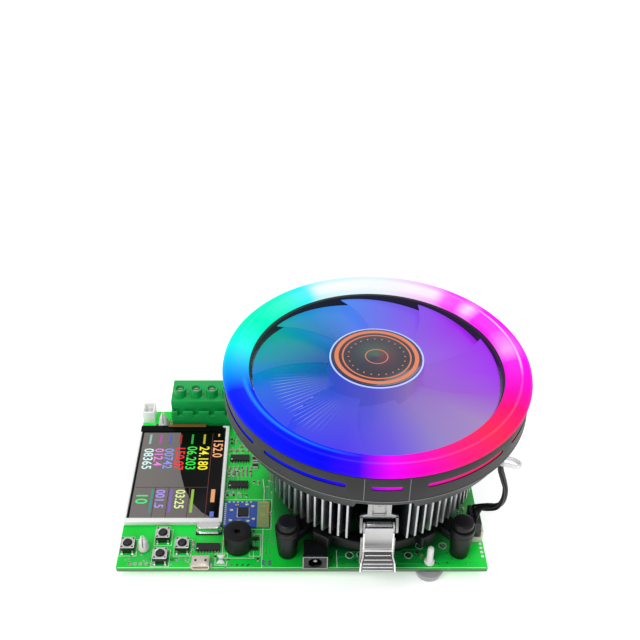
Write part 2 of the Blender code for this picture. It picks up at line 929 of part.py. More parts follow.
def buttons(case_material, key_material):
    floor = 0.8
    roof = BUTTON_H - 0.6
    bore = [
        (0, floor),
        (BUTTON_FLANGE_R + GAP, floor),
        (BUTTON_FLANGE_R + GAP, roof),
        (BUTTON_KEY_R + GAP, roof),
        (BUTTON_KEY_R + GAP, BUTTON_H + 1),
        (0, BUTTON_H + 1),
    ]
    rest = floor + BUTTON_TRAVEL + GAP
    key = [
        (0, rest),
        (BUTTON_FLANGE_R, rest),
        (BUTTON_FLANGE_R, rest + BUTTON_FLANGE_H),
        (BUTTON_KEY_R, rest + BUTTON_FLANGE_H),
        (BUTTON_KEY_R, BUTTON_KEY_TOP - 0.2),
        (BUTTON_KEY_R - 0.2, BUTTON_KEY_TOP),
        (0, BUTTON_KEY_TOP),
    ]
    first_case = None
    first_key = None
    for name, (x, y) in BUTTON_PLACES.items():
        origin = (x, y, 0)
        if first_case:
            copy_of(first_case, f"button_case_{name}", origin)
            copy_of(first_key, f"button_key_{name}", origin)
            continue

        def case(bm):
            half = BUTTON / 2
            prism(bm, rounded(rectangle(x - half, x + half, y - half, y + half), 0.4, 2), 0, BUTTON_H)

        def legs(bm):
            half = BUTTON / 2
            for side in (-1, 1):
                for across in (-2.2, 2.2):
                    ends = sorted((y + side * (half - 0.4), y + side * (half + 0.9)))
                    block(bm, x + across - 0.35, x + across + 0.35, *ends, 0.1, 0.5)

        first_case = solid(f"button_case_{name}", case, case_material, origin)
        join(first_case, legs, "legs")
        cut(first_case, lambda bm: turned(bm, bore, origin, 10), "bore")
        first_key = solid(
            f"button_key_{name}", lambda bm: turned(bm, key, origin, 10), key_material, origin, smooth=True
        )


# Power jack and fan connector


def dc_jack(material):
    half = JACK_W / 2
    height = (JACK_H - GAP) / 2 + GAP / 2
    bore = [
        (0, -1.0),
        (JACK_BORE_R, -1.0),
        (JACK_BORE_R, JACK_D - 1.6),
        (JACK_PIN_R, JACK_D - 1.6),
        (JACK_PIN_R, JACK_PIN_SET),
        (0, JACK_PIN_SET),
    ]

    def flange(bm):
        outline = rounded(rectangle(JACK_X - half, JACK_X + half, GAP / 2, JACK_H), 0.6, 3)
        prism(bm, outline, 0, JACK_FLANGE, "Y")

    def barrel(bm):
        side = half - 0.5
        block(bm, JACK_X - side, JACK_X + side, JACK_FLANGE - 0.5, JACK_D, GAP / 2 + 0.1, JACK_H - 0.5)

    jack = solid("dc_jack", flange, material)
    join(jack, barrel, "barrel")
    cut(jack, lambda bm: turned(bm, bore, (JACK_X, 0, height), 12, "Y"), "bore")


def fan_pin_places():
    return [FAN_PLUG_Y + (i - (FAN_PINS - 1) / 2) * FAN_PIN_PITCH for i in range(FAN_PINS)]


def fan_connector(white, black):
    half_d = FAN_PINS * FAN_PIN_PITCH / 2
    left = FAN_PLUG_X - FAN_PLUG_W / 2
    right = FAN_PLUG_X + FAN_PLUG_W / 2
    wall = right + GAP

    def base(bm):
        profile = [(left, 0), (left + FAN_HEADER_W, 0), (left + FAN_HEADER_W, 7.0), (wall, 7.0)]
        profile += [(wall, FAN_HEADER_H), (left, FAN_HEADER_H)]
        prism(bm, profile, FAN_PLUG_Y - half_d, FAN_PLUG_Y + half_d, "Y")

    def pins(bm):
        half = FAN_PIN / 2
        for y in fan_pin_places():
            block(bm, FAN_PLUG_X - half, FAN_PLUG_X + half, y - half, y + half, FAN_HEADER_H - 0.5, 9.0)

    def housing(bm):
        outline = rounded(rectangle(left, right, FAN_HEADER_H + GAP, FAN_PLUG_TOP), 0.3, 2)
        prism(bm, outline, FAN_PLUG_Y - half_d, FAN_PLUG_Y + half_d, "Y")

    def sockets(bm):
        half = FAN_PIN / 2 + GAP
        for y in fan_pin_places():
            block(bm, FAN_PLUG_X - half, FAN_PLUG_X + half, y - half, y + half, 0, 9.0 + GAP)

    header = solid("fan_header", base, white)
    join(header, pins, "pins")
    plug = solid("fan_plug", housing, black)
    cut(plug, sockets, "sockets")


# Power transistor, flat on the board under the cooler's core


def power_transistor(material):
    half_w = TRANSISTOR_W / 2
    front = COOLER_Y - TRANSISTOR_D / 2

    def body(bm):
        outline = rectangle(COOLER_X - half_w, COOLER_X + half_w, front, front + TRANSISTOR_D)
        prism(bm, rounded(outline, 0.8, 2), GAP, CORE_BOTTOM - GAP)

    def leads(bm):
        foot = front - TRANSISTOR_LEAD
        for i in (-1, 0, 1):
            x = COOLER_X + i * TRANSISTOR_LEAD_PITCH
            profile = [(front + 1, 2.2), (front + 1, 2.8), (foot - 0.3, 2.8), (foot - 0.3, 0.1), (foot + 0.3, 0.1)]
            profile.append((foot + 0.3, 2.2))
            prism(bm, profile, x - 0.6, x + 0.6, "X")

    part = solid("power_transistor", body, material)
    join(part, leads, "leads")


# Heatsink: a round core with stems that fork once on their way out


def fin_bottom(radius):
    """The underside of the fins: level at first, then slanting up to the tips."""
    if radius <= FIN_SLANT_R:
        return FIN_BOTTOM
    share = (radius - FIN_SLANT_R) / (fin_r() - FIN_SLANT_R)
    return FIN_BOTTOM + share * (FIN_TIP_BOTTOM - FIN_BOTTOM)


def fin_angles():
    """The stems' angles from the front, without those where the clip passes."""
    pitch = 360 / FIN_STEMS
    angles = [i * pitch for i in range(FIN_STEMS)]
    return [a for a in angles if min(abs(math.remainder(a, 180)), 180) > FIN_GAP_HALF]


def heatsink(material):
    branch = 360 / FIN_STEMS / 4

    def spot(bm, radius, degrees, across, z):
        """A vertex at this radius and angle from the front, moved sideways by across."""
        turn = math.radians(degrees - 90)
        x = COOLER_X + radius * math.cos(turn) - across * math.sin(turn)
        y = COOLER_Y + radius * math.sin(turn) + across * math.cos(turn)
        return bm.verts.new((x, y, z))

    def strip(bm, sections):
        """Joins sections of four corners, each listed low left, low right, high right, high left."""
        for a, b in zip(sections, sections[1:]):
            for k in range(4):
                n = (k + 1) % 4
                bm.faces.new((a[k], a[n], b[n], b[k]))

    def section(bm, radius, degrees, across, half):
        low = fin_bottom(radius)
        return [
            spot(bm, radius, degrees, across - half, low),
            spot(bm, radius, degrees, across + half, low),
            spot(bm, radius, degrees, across + half, FIN_TOP),
            spot(bm, radius, degrees, across - half, FIN_TOP),
        ]

    def core(bm):
        prism(bm, arc((COOLER_X, COOLER_Y), CORE_R, 0, 348, 29), CORE_BOTTOM, FIN_TOP)

    def stems(bm):
        for angle in fin_angles():
            root = section(bm, CORE_R - 0.8, angle, 0, FIN_STEM_T / 2)
            fork = section(bm, FIN_FORK_R, angle, 0, FIN_STEM_T / 2)
            strip(bm, [root, fork])
            bm.faces.new(root)
            middle_low = spot(bm, FIN_FORK_R + 1.2, angle, 0, fin_bottom(FIN_FORK_R))
            middle_high = spot(bm, FIN_FORK_R + 1.2, angle, 0, FIN_TOP)
            bm.faces.new((fork[0], fork[1], middle_low))
            bm.faces.new((fork[2], fork[3], middle_high))
            for side in (-1, 1):
                stem = fork[0:1] + fork[3:4] if side < 0 else fork[1:2] + fork[2:3]
                outer_low, outer_high = stem
                tip = section(bm, fin_r(), angle + side * branch, 0, FIN_BRANCH_T / 2)
                start = [outer_low, middle_low, middle_high, outer_high]
                if side > 0:
                    start = [middle_low, outer_low, outer_high, middle_high]
                strip(bm, [start, tip])
                bm.faces.new(tip)

    sink = solid("heatsink", core, material)
    join(sink, stems, "stems")


# Bracket: a ring on four posts, whose collets snap into the board


def cooler_bracket(material):
    def ring(bm):
        profile = [(RING_IN_R, RING_BOTTOM), (RING_R, RING_BOTTOM), (RING_R, RING_TOP), (RING_IN_R, RING_TOP)]
        turned(bm, profile, (COOLER_X, COOLER_Y, 0), 32, closed=True)

    def arms(bm):
        for angle in (45, 135, 225, 315):
            turn = Matrix.Translation((COOLER_X, COOLER_Y, 0)) @ Matrix.Rotation(math.radians(angle), 4, "Z")
            add_turned_block(bm, turn, (RING_R - 1.0, POST_PITCH / 2 * math.sqrt(2)), ARM_W / 2, (ARM_BOTTOM, ARM_TOP))

    def blocks(bm):
        for middle in (270, 90):
            for lean in (-BLOCK_ANGLE, BLOCK_ANGLE):
                turn = Matrix.Rotation(math.radians(middle + lean), 4, "Z")
                turn = Matrix.Translation((COOLER_X, COOLER_Y, 0)) @ turn
                add_turned_block(bm, turn, (RING_R - 1.0, (RING_R + BLOCK_OUT)), BLOCK_W / 2, (BLOCK_BOTTOM, BLOCK_TOP))
            turn = Matrix.Translation((COOLER_X, COOLER_Y, 0)) @ Matrix.Rotation(math.radians(middle), 4, "Z")
            add_turned_block(bm, turn, (RING_R - 1.0, (RING_R + LUG_OUT)), LUG_W / 2, (LUG_BOTTOM, LUG_TOP))

    def posts(bm):
        under = -BOARD_T - GAP
        profile = [
            (0, under - COLLET_DROP),
            (COLLET_R - 0.4, under - COLLET_DROP),
            (COLLET_BARB_R, under - 0.5),
            (COLLET_R, under),
            (COLLET_R, GAP),
            (POST_BASE_R, GAP),
            (POST_TOP_R, POST_TOP - 2.4),
            (POST_TOP_R, POST_TOP),
            (0, POST_TOP),
        ]
        for x, y in post_places().values():
            turned(bm, profile, (x, y, 0), 10)

    def bores(bm):
        for x, y in post_places().values():
            prism(bm, arc((x, y), SHANK_R + RUN, 0, 315, 7), -10, POST_TOP + 1)

    bracket = solid("cooler_bracket", ring, material)
    join(bracket, arms, "arms")
    join(bracket, blocks, "blocks")
    join(bracket, posts, "posts")
    cut(bracket, bores, "bores")


def add_all(bm, made):
    """Moves every face of one bmesh into another."""
    mesh = bpy.data.meshes.new("made")
    made.to_mesh(mesh)
    made.free()
    bm.from_mesh(mesh)
    bpy.data.meshes.remove(mesh)


def add_turned_block(bm, place, reach, half, heights):
    """A block from reach[0] to reach[1] along its own X, turned and moved by place."""
    made = bmesh.ops.create_cube(bm, size=1.0)
    size = Matrix.Diagonal((reach[1] - reach[0], half * 2, heights[1] - heights[0], 1))
    shift = Matrix.Translation(((reach[0] + reach[1]) / 2, 0, sum(heights) / 2))
    bmesh.ops.transform(bm, matrix=place @ shift @ size, verts=made["verts"])


def push_pins(material):
    shank = [
        (0, SHANK_TIP),
        (SHANK_R * 0.6, SHANK_TIP),
        (SHANK_R, SHANK_TIP + 0.8),
        (SHANK_R, SHANK_TOP),
        (0, SHANK_TOP),
    ]
    seat = POST_TOP + GAP
    knob = [
        (0, SHANK_TOP + GAP),
        (SHANK_R + RUN, SHANK_TOP + GAP),
        (SHANK_R + RUN, seat),
        (KNOB_R, seat),
        (KNOB_R, KNOB_TOP - 1.3),
        (KNOB_R - 0.5, KNOB_TOP - 0.6),
        (KNOB_R - 2.0, KNOB_TOP - 0.1),
        (0, KNOB_TOP),
    ]
    first_shank = None
    first_knob = None
    for name, (x, y) in post_places().items():
        origin = (x, y, 0)
        if first_shank:
            copy_of(first_shank, f"pin_shank_{name}", origin)
            copy_of(first_knob, f"pin_knob_{name}", origin, f"pin_shank_{name}")
            continue
        first_shank = solid(
            f"pin_shank_{name}", lambda bm: turned(bm, shank, origin, 12), material, origin, smooth=True
        )
        first_knob = solid(
            f"pin_knob_{name}",
            lambda bm: turned(bm, knob, origin, 12),
            material,
            origin,
            f"pin_shank_{name}",
            smooth=True,
        )


# Latch: a strap over the heatsink, a lever in its ears, and a hook on the lever's crank


def crank_place():
    lean = math.radians(CRANK_LEAN)
    return PIVOT_Y - CRANK * math.sin(lean), PIVOT_Z + CRANK * math.cos(lean)


def clip_strap(material):
    bend = 2.0
    over = FIN_TOP + GAP + STRAP_T / 2
    back = COOLER_Y + (RING_R + LUG_OUT) + GAP + STRAP_T / 2
    half = STRAP_W / 2
    low = LUG_BOTTOM - GAP - STRAP_T / 2

    def sheet(bm):
        stations = [(STRAP_FRONT, STRAP_END, EAR_HALF + EAR_T), (STRAP_FRONT, STRAP_END + 1.6, EAR_HALF + EAR_T)]
        stations.append((STRAP_FRONT, STRAP_END + 2.6, half))
        stations += [(y, z, half) for y, z in arc((STRAP_FRONT + bend, over - bend), bend, 180, 90, 4)]
        stations += [(y, z, half) for y, z in arc((back - bend, over - bend), bend, 90, 0, 4)]
        stations += [(y, z, half) for y, z in arc((back - 1, low + 1), 1, 0, -90, 3)]
        stations.append((back - STRAP_T / 2 - 3.0, low, half))
        ribbon(bm, stations, STRAP_T, COOLER_X)

    def ears(bm):
        outline = [(STRAP_FRONT + 0.3, STRAP_END + 1.2), (STRAP_FRONT - 1.2, STRAP_END + 1.2)]
        outline += arc((PIVOT_Y, PIVOT_Z), 2.1, 150, 330, 8)
        outline.append((STRAP_FRONT + 0.3, STRAP_END - 1.0))
        for side in (-1, 1):
            ends = sorted((side * EAR_HALF, side * (EAR_HALF + EAR_T)))
            prism(bm, outline, COOLER_X + ends[0], COOLER_X + ends[1], "X")

    def pivot_holes(bm):
        reach = EAR_HALF + EAR_T + 1
        prism(bm, arc((PIVOT_Y, PIVOT_Z), PIVOT_R + RUN, 0, 330, 11), COOLER_X - reach, COOLER_X + reach, "X")

    strap = solid("clip_strap", sheet, material)
    join(strap, ears, "ears")
    cut(strap, pivot_holes, "pivot_holes")


def clip_lever(material):
    origin = (COOLER_X, PIVOT_Y, PIVOT_Z)
    crank_y, crank_z = crank_place()
    front = PIVOT_Y - 1.7

    def plate(bm):
        stations = [
            (front, PIVOT_Z - 0.6, LEVER_HALF),
            (front - 0.3, PIVOT_Z - 7.0, LEVER_HALF),
            (front - 0.9, PIVOT_Z - 10.2, LEVER_HALF),
            (front - 2.1, PIVOT_Z - 12.2, LEVER_HALF + 0.2),
            (front - 3.4, PIVOT_Z - 14.6, LEVER_HALF + 0.9),
            (front - 4.6, PIVOT_Z - 18.4, LEVER_HALF + 1.2),
        ]
        ribbon(bm, stations, LEVER_T, COOLER_X)

    def cheeks(bm):
        outline = [(front - 0.2, PIVOT_Z - 4.2), (front + 0.9, PIVOT_Z - 3.6)]
        outline += arc((PIVOT_Y, PIVOT_Z), 1.6, -40, 0, 2)
        outline += arc((crank_y, crank_z), 1.2, 0, 180, 5)
        outline.append((front - 0.2, PIVOT_Z - 0.8))
        for side in (-1, 1):
            ends = sorted((side * LEVER_HALF, side * (LEVER_HALF - CHEEK_T)))
            prism(bm, outline, COOLER_X + ends[0], COOLER_X + ends[1], "X")

    def crossbar(bm):
        reach = LEVER_HALF - CHEEK_T / 2
        prism(bm, arc((crank_y, crank_z), CRANK_R, 0, 324, 9), COOLER_X - reach, COOLER_X + reach, "X")

    def stubs(bm):
        for side in (-1, 1):
            ends = sorted((side * (LEVER_HALF - CHEEK_T / 2), side * (EAR_HALF + EAR_T)))
            outline = arc((PIVOT_Y, PIVOT_Z), PIVOT_R, 0, 330, 11)
            prism(bm, outline, COOLER_X + ends[0], COOLER_X + ends[1], "X")

    lever = solid("clip_lever", plate, material, origin)
    join(lever, cheeks, "cheeks")
    join(lever, crossbar, "crossbar")
    join(lever, stubs, "stubs")


def clip_hook(material):
    crank_y, crank_z = crank_place()
    origin = (COOLER_X, crank_y, crank_z)
    lip = LUG_BOTTOM - GAP - HOOK_T / 2

    def plate(bm):
        stations = [
            (crank_y, crank_z - 1.2, HOOK_NECK_HALF),
            (crank_y, PIVOT_Z - 4.6, HOOK_NECK_HALF),
            (crank_y, PIVOT_Z - 5.6, HOOK_HALF),
            (crank_y, lip + 0.8, HOOK_HALF),
            (crank_y + 0.3, lip + 0.2, HOOK_HALF),
            (crank_y + 0.9, lip, HOOK_HALF),
            (crank_y + HOOK_REACH, lip, HOOK_HALF),
        ]
        ribbon(bm, stations, HOOK_T, COOLER_X)

    def barrel(bm):
        outline = arc((crank_y, crank_z), BARREL_R, 0, 337.5, 15)
        prism(bm, outline, COOLER_X - HOOK_NECK_HALF, COOLER_X + HOOK_NECK_HALF, "X")

    def bore(bm):
        outline = arc((crank_y, crank_z), CRANK_R + RUN, 0, 330, 11)
        prism(bm, outline, COOLER_X - 10, COOLER_X + 10, "X")

    def window(bm):
        half = HOOK_HALF - 2.0
        block(bm, COOLER_X - half, COOLER_X + half, crank_y - 2, crank_y + 2, lip + 3.5, PIVOT_Z - 7.0)

    hook = solid("clip_hook", plate, material, origin, "clip_lever")
    join(hook, barrel, "barrel")
    cut(hook, bore, "bore")
    cut(hook, window, "window")


# Fan


def fan_frame(material):
    centre = (COOLER_X, COOLER_Y, 0)
    base_low = FIN_TOP + GAP + STRAP_T + GAP
    inner = SHROUD_R - SHROUD_WALL
    lip = SHROUD_R - SHROUD_TAPER

    def shell(bm):
        profile = [
            (SHROUD_R, SHROUD_TOP),
            (SHROUD_R, SHROUD_STEP),
            (lip, SHROUD_BOTTOM),
            (lip - SHROUD_WALL, SHROUD_BOTTOM),
            (inner, SHROUD_STEP + 0.3),
            (inner, WEB_Z),
            (duct_r() + SHROUD_WALL, WEB_Z),
            (duct_r() + SHROUD_WALL, DUCT_BOTTOM),
            (duct_r(), DUCT_BOTTOM),
            (duct_r(), SHROUD_TOP),
            (duct_r() + SHROUD_WALL, SHROUD_TOP),
            (duct_r() + SHROUD_WALL, WEB_Z + WEB_T),
            (inner, WEB_Z + WEB_T),
            (inner, SHROUD_TOP),
        ]
        turned(bm, profile, centre, 40, closed=True)

    def spokes(bm):
        """Each spoke lies on the fin tops with a pad, and turns up into the duct's wall."""
        low = base_low + 0.1
        high = base_low + SPOKE_T - 0.1
        pad = FIN_TOP + GAP
        wall = (duct_r() + 0.3, duct_r() + SHROUD_WALL - 0.3)
        profile = [(MOTOR_BASE_R - 2, low), (fin_r() - PAD_L, low), (fin_r() - PAD_L, pad), (fin_r(), pad)]
        profile += [(fin_r(), low), (wall[1], low), (wall[1], DUCT_BOTTOM + 1), (wall[0], DUCT_BOTTOM + 1)]
        profile += [(wall[0], high), (MOTOR_BASE_R - 2, high)]
        for i in range(SPOKES):
            made = bmesh.new()
            prism(made, profile, -SPOKE_W / 2, SPOKE_W / 2, "Y")
            turn = Matrix.Rotation(math.radians(SPOKE_ANGLE + i * 360 / SPOKES), 4, "Z")
            made.transform(Matrix.Translation(centre) @ turn)
            add_all(bm, made)

    def motor_base(bm):
        profile = [
            (0, base_low),
            (MOTOR_BASE_R, base_low),
            (MOTOR_BASE_R, base_low + SPOKE_T),
            (BEARING_R, base_low + SPOKE_T),
            (BEARING_R, BEARING_TOP),
            (0, BEARING_TOP),
        ]
        turned(bm, profile, centre, 24)

    def bearing_bore(bm):
        prism(bm, arc(centre, SHAFT_R + RUN, 0, 330, 11), base_low + 1.2, BEARING_TOP + 1)

    def slots(bm):
        low, high = SLOT_BOTTOM, SLOT_TOP
        spans = []
        for start, end in SLOTS:
            for middle in (270, 90):
                spans.append((middle + start, middle + end))
                if start > 0:
                    spans.append((middle - end, middle - start))
        for start, end in spans:
            steps = max(2, round((end - start) / 9))
            outline = arc(centre, SHROUD_R + 1, start, end, steps) + arc(centre, inner - 1, end, start, steps)
            prism(bm, outline, low, high)

    def arch(bm):
        front = COOLER_Y - SHROUD_R - 1
        corners = [(-ARCH_HALF - 1, SHROUD_BOTTOM - 1), (ARCH_HALF + 1, SHROUD_BOTTOM - 1)]
        corners += [(ARCH_HALF, ARCH_TOP), (-ARCH_HALF, ARCH_TOP)]
        outline = [(COOLER_X + x, z) for x, z in corners]
        prism(bm, outline, front, COOLER_Y - duct_r() - SHROUD_WALL - 1, "Y")

    frame = solid("fan_frame", shell, material, smooth=True)
    join(frame, spokes, "spokes")
    join(frame, motor_base, "motor_base")
    cut(frame, bearing_bore, "bearing_bore")
    cut(frame, slots, "slots")
    cut(frame, arch, "arch")


def light_ring(material):
    low = SHROUD_TOP + GAP
    outer = ring_light_r()
    inner = outer - RING_LIGHT_W
    profile = [
        (outer - 0.4, low),
        (outer, low + 1.2),
        (outer - 0.7, RING_LIGHT_TOP - 0.8),
        (outer - 2.4, RING_LIGHT_TOP),
        (outer - 5.6, RING_LIGHT_TOP - 0.1),
        (inner + 1.2, RING_LIGHT_TOP - 1.2),
        (inner, RING_LIGHT_TOP - 2.2),
        (inner, low),
    ]
    centre = (COOLER_X, COOLER_Y, 0)
    solid("light_ring", lambda bm: turned(bm, profile, centre, 40, closed=True), material, centre, smooth=True)


def led_board(material):
    low = WEB_Z + WEB_T + GAP
    inner = duct_r() + SHROUD_WALL + GAP
    outer = SHROUD_R - SHROUD_WALL - GAP
    profile = [(inner, low), (outer, low), (outer, low + LED_BOARD_T), (inner, low + LED_BOARD_T)]
    centre = (COOLER_X, COOLER_Y, 0)
    solid("led_board", lambda bm: turned(bm, profile, centre, 32, closed=True), material, centre)


def motor_stator(material):
    centre = (COOLER_X, COOLER_Y)

    def poles(bm):
        outline = []
        for i in range(4):
            angle = i * 90
            outline += arc(centre, STATOR_R, angle - 36, angle + 36, 3)
            outline += arc(centre, STATOR_R - 3.0, angle + 34, angle + 20, 1)
            outline += arc(centre, 6.5, angle + 30, angle + 60, 1)
            outline += arc(centre, STATOR_R - 3.0, angle + 70, angle + 56, 1)
        prism(bm, outline, STATOR_BOTTOM, STATOR_TOP)

    def bore(bm):
        prism(bm, arc(centre, BEARING_R + GAP, 0, 345, 23), STATOR_BOTTOM - 1, STATOR_TOP + 1)

    stator = solid("motor_stator", poles, material)
    cut(stator, bore, "bore")


def fan_rotor(material):
    centre = (COOLER_X, COOLER_Y, 0)
    origin = (COOLER_X, COOLER_Y, BLADE_TOP)
    tip = duct_r() - BLADE_CLEARANCE
    cup = [
        (0, HUB_TOP),
        (HUB_R - 0.8, HUB_TOP),
        (HUB_R, HUB_TOP - 0.8),
        (HUB_R, HUB_BOTTOM),
        (HUB_R - HUB_WALL, HUB_BOTTOM),
        (HUB_R - HUB_WALL, HUB_TOP - HUB_WALL),
        (0, HUB_TOP - HUB_WALL),
    ]

    def blade_point(radius, share, lift, turn):
        """A point on one blade: share runs from its leading edge to its trailing edge."""
        out = (radius - HUB_R) / (tip - HUB_R)
        angle = math.radians(turn + BLADE_SWEEP * out - share * BLADE_SPAN)
        drop = BLADE_DROP * (1 - 0.25 * out)
        z = BLADE_TOP - drop * share ** 1.25 + lift
        return (COOLER_X + radius * math.cos(angle), COOLER_Y + radius * math.sin(angle), z)

    def blades(bm):
        radii = [HUB_R - 0.9] + [HUB_R + share * (tip - HUB_R) for share in BLADE_SHARES] + [tip]
        shares = (0.0, 0.34, 0.67, 1.0)
        for i in range(BLADES):
            turn = i * 360 / BLADES
            rings = []
            for radius in radii:
                ring = [bm.verts.new(blade_point(radius, s, BLADE_T / 2, turn)) for s in shares]
                ring += [bm.verts.new(blade_point(radius, s, -BLADE_T / 2, turn)) for s in reversed(shares)]
                rings.append(ring)
            bmesh.ops.bridge_loops(
                bm,
                edges=[
                    bm.edges.new((ring[k], ring[(k + 1) % len(ring)]))
                    for ring in rings
                    for k in range(len(ring))
                ],
            )
            bm.faces.new(rings[0])
            bm.faces.new(rings[-1])

    rotor = solid("fan_rotor", lambda bm: turned(bm, cup, centre, 28), material, origin, smooth=True)
    join(rotor, blades, "blades")


def hub_cap(material):
    low = HUB_TOP + GAP
    profile = [(0, low), (LABEL_R, low), (LABEL_R, low + LABEL_T), (0, low + LABEL_T)]
    centre = (COOLER_X, COOLER_Y, 0)
    origin = (COOLER_X, COOLER_Y, low)
    solid("hub_cap", lambda bm: turned(bm, profile, centre, 28), material, origin, "fan_rotor", smooth=True)


def rotor_shaft(material):
    low = FIN_TOP + 2 * GAP + STRAP_T + 1.2 + GAP
    high = HUB_TOP - HUB_WALL - GAP
    profile = [(0, low), (SHAFT_R - 0.3, low), (SHAFT_R, low + 0.3), (SHAFT_R, high), (0, high)]
    centre = (COOLER_X, COOLER_Y, 0)
    origin = (COOLER_X, COOLER_Y, low)
    solid("rotor_shaft", lambda bm: turned(bm, profile, centre, 16), material, origin, "fan_rotor", smooth=True)


# Fan lead and its tie


def smooth_route(points, per_span):
    """A smooth curve through the points, with per_span points from each to the next."""
    route = [Vector(p) for p in points]
    ends = [route[0] * 2 - route[1]] + route + [route[-1] * 2 - route[-2]]
    curve = []
    for a, b, c, d in zip(ends, ends[1:], ends[2:], ends[3:]):
        for k in range(per_span):
            t = k / per_span
            curve.append(
                0.5 * (2 * b + (c - a) * t + (2 * a - 5 * b + 4 * c - d) * t * t + (3 * b - a - 3 * c + d) * t ** 3)
            )
    curve.append(route[-1])
    return curve


def fan_lead(material):
    points = smooth_route(LEAD_ROUTE + ((FAN_PLUG_X, FAN_PLUG_Y, LEAD_END),), 2)
    curve = bpy.data.curves.new("fan_lead", "CURVE")
    curve.dimensions = "3D"
    curve.bevel_depth = LEAD_R * MM
    curve.bevel_resolution = 2
    curve.use_fill_caps = True
    spline = curve.splines.new("POLY")
    spline.points.add(len(points) - 1)
    for point, place in zip(spline.points, points):
        point.co = (*(place * MM), 1.0)
    curve.materials.append(material)
    obj = bpy.data.objects.new("fan_lead", curve)
    bpy.context.scene.collection.objects.link(obj)
    attach(obj, (0, 0, 0), "load_frame")


def lead_tie(material):
    """A cable tie closed in a long loop: the lead passes through one end, and the other hangs free."""
    middle = (TIE_L - TIE_D) / 2
    place = Matrix.Translation(LEAD_ROUTE[TIE_AT]) @ Matrix.Rotation(math.radians(TIE_DROOP), 4, "Y")
    place = place @ Matrix.Rotation(math.radians(-TIE_LEAN), 4, "X")

    def band(bm):
        prism(bm, capsule((middle, 0), TIE_L, TIE_D, 8), -TIE_W / 2, TIE_W / 2)
        bm.transform(place)

    def opening(bm):
        prism(bm, capsule((middle, 0), TIE_L - 2 * TIE_T, TIE_D - 2 * TIE_T, 8), -TIE_W, TIE_W)
        bm.transform(place)

    tie = solid("lead_tie", band, material)
    cut(tie, opening, "opening")


def load_frame():
    """The empty that carries everything, placed so that the origin is under the object's middle."""
    left = -BOARD_W / 2
    right = COOLER_X + ring_light_r()
    empty = bpy.data.objects.new("load_frame", None)
    bpy.context.scene.collection.objects.link(empty)
    empty.location = Vector((-(left + right) / 2, -COOLER_Y, BOARD_T + FOOT_H)) * MM
    ORIGIN["load_frame"] = Vector((0, 0, 0))


def main():
    clear_scene()
    load_frame()

    mask = finish("green solder mask", (0.0, 0.30, 0.04), 0.35)
    nylon = finish("natural nylon", (0.75, 0.75, 0.72), 0.4)
    white = finish("white moulded plastic", (0.82, 0.82, 0.80), 0.45)
    glass = finish("display glass", (0.01, 0.01, 0.012), 0.1)
    copper = finish("copper polyimide flex", (0.45, 0.24, 0.08), 0.4)
    green = finish("green terminal nylon", (0.02, 0.30, 0.10), 0.45)
    zinc = finish("zinc plated steel", (0.62, 0.63, 0.64), 0.3, 1.0)
    blue = finish("blue solder mask", (0.01, 0.09, 0.40), 0.35)
    black = finish("black moulded plastic", (0.018, 0.018, 0.02), 0.45)
    tin = finish("tinned steel", (0.75, 0.75, 0.74), 0.25, 1.0)
    aluminium = finish("extruded aluminium", (0.66, 0.67, 0.68), 0.35, 1.0)
    steel = finish("bright spring steel", (0.70, 0.70, 0.70), 0.2, 1.0)
    shroud = finish("dark grey shroud plastic", (0.045, 0.045, 0.05), 0.4)
    diffuser = finish("lit acrylic diffuser", (0.85, 0.55, 0.95), 0.3)
    frosted = finish("frosted blade plastic", (0.42, 0.45, 0.85), 0.35)
    rubber = finish("black cable jacket", (0.012, 0.012, 0.012), 0.5)
    clear = finish("clear nylon tie", (0.70, 0.72, 0.74), 0.3)

    main_board(mask)
    feet(nylon)
    display(white, glass, copper)
    terminal_header(green)
    terminal_plug(green)
    terminal_screws(zinc)
    terminal_clamps(zinc)
    sensor_socket(white)
    radio_module(blue)
    buzzer(black)
    usb_socket(tin)
    quartz_crystal(tin)
    for name in CHIP_PLACES:
        chip(name, black)
    buttons(black, black)
    dc_jack(black)
    fan_connector(white, black)
    power_transistor(black)
    heatsink(aluminium)
    cooler_bracket(black)
    push_pins(black)
    clip_strap(steel)
    clip_lever(steel)
    clip_hook(steel)
    fan_frame(shroud)
    light_ring(diffuser)
    led_board(white)
    motor_stator(copper)
    fan_rotor(frosted)
    hub_cap(black)
    rotor_shaft(steel)
    fan_lead(rubber)
    lead_tie(clear)


main()
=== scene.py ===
"""The looks of a bench electronic load: a green circuit board on nylon feet, with a colour display,
buttons, a pluggable terminal block and a clip-on cooler under a lit fan."""

import math
import random
from functools import partial

import bmesh
import bpy
from mathutils import Matrix, Vector


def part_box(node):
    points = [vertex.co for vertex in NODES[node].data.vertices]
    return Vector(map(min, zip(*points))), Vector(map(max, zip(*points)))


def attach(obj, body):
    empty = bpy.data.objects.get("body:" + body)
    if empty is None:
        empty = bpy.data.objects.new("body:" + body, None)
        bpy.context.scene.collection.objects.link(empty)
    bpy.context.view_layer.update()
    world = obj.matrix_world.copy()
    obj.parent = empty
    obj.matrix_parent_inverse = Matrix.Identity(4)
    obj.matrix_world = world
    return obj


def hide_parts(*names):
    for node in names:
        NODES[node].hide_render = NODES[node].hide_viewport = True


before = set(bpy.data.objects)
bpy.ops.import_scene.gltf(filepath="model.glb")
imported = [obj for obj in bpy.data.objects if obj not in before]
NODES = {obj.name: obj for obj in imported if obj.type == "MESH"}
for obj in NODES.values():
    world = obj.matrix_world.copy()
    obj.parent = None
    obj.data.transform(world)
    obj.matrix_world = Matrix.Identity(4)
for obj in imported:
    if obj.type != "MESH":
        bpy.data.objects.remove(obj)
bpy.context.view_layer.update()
MM = 0.001


# The board's own millimetres: x from its middle, y from its front edge, z from its top face


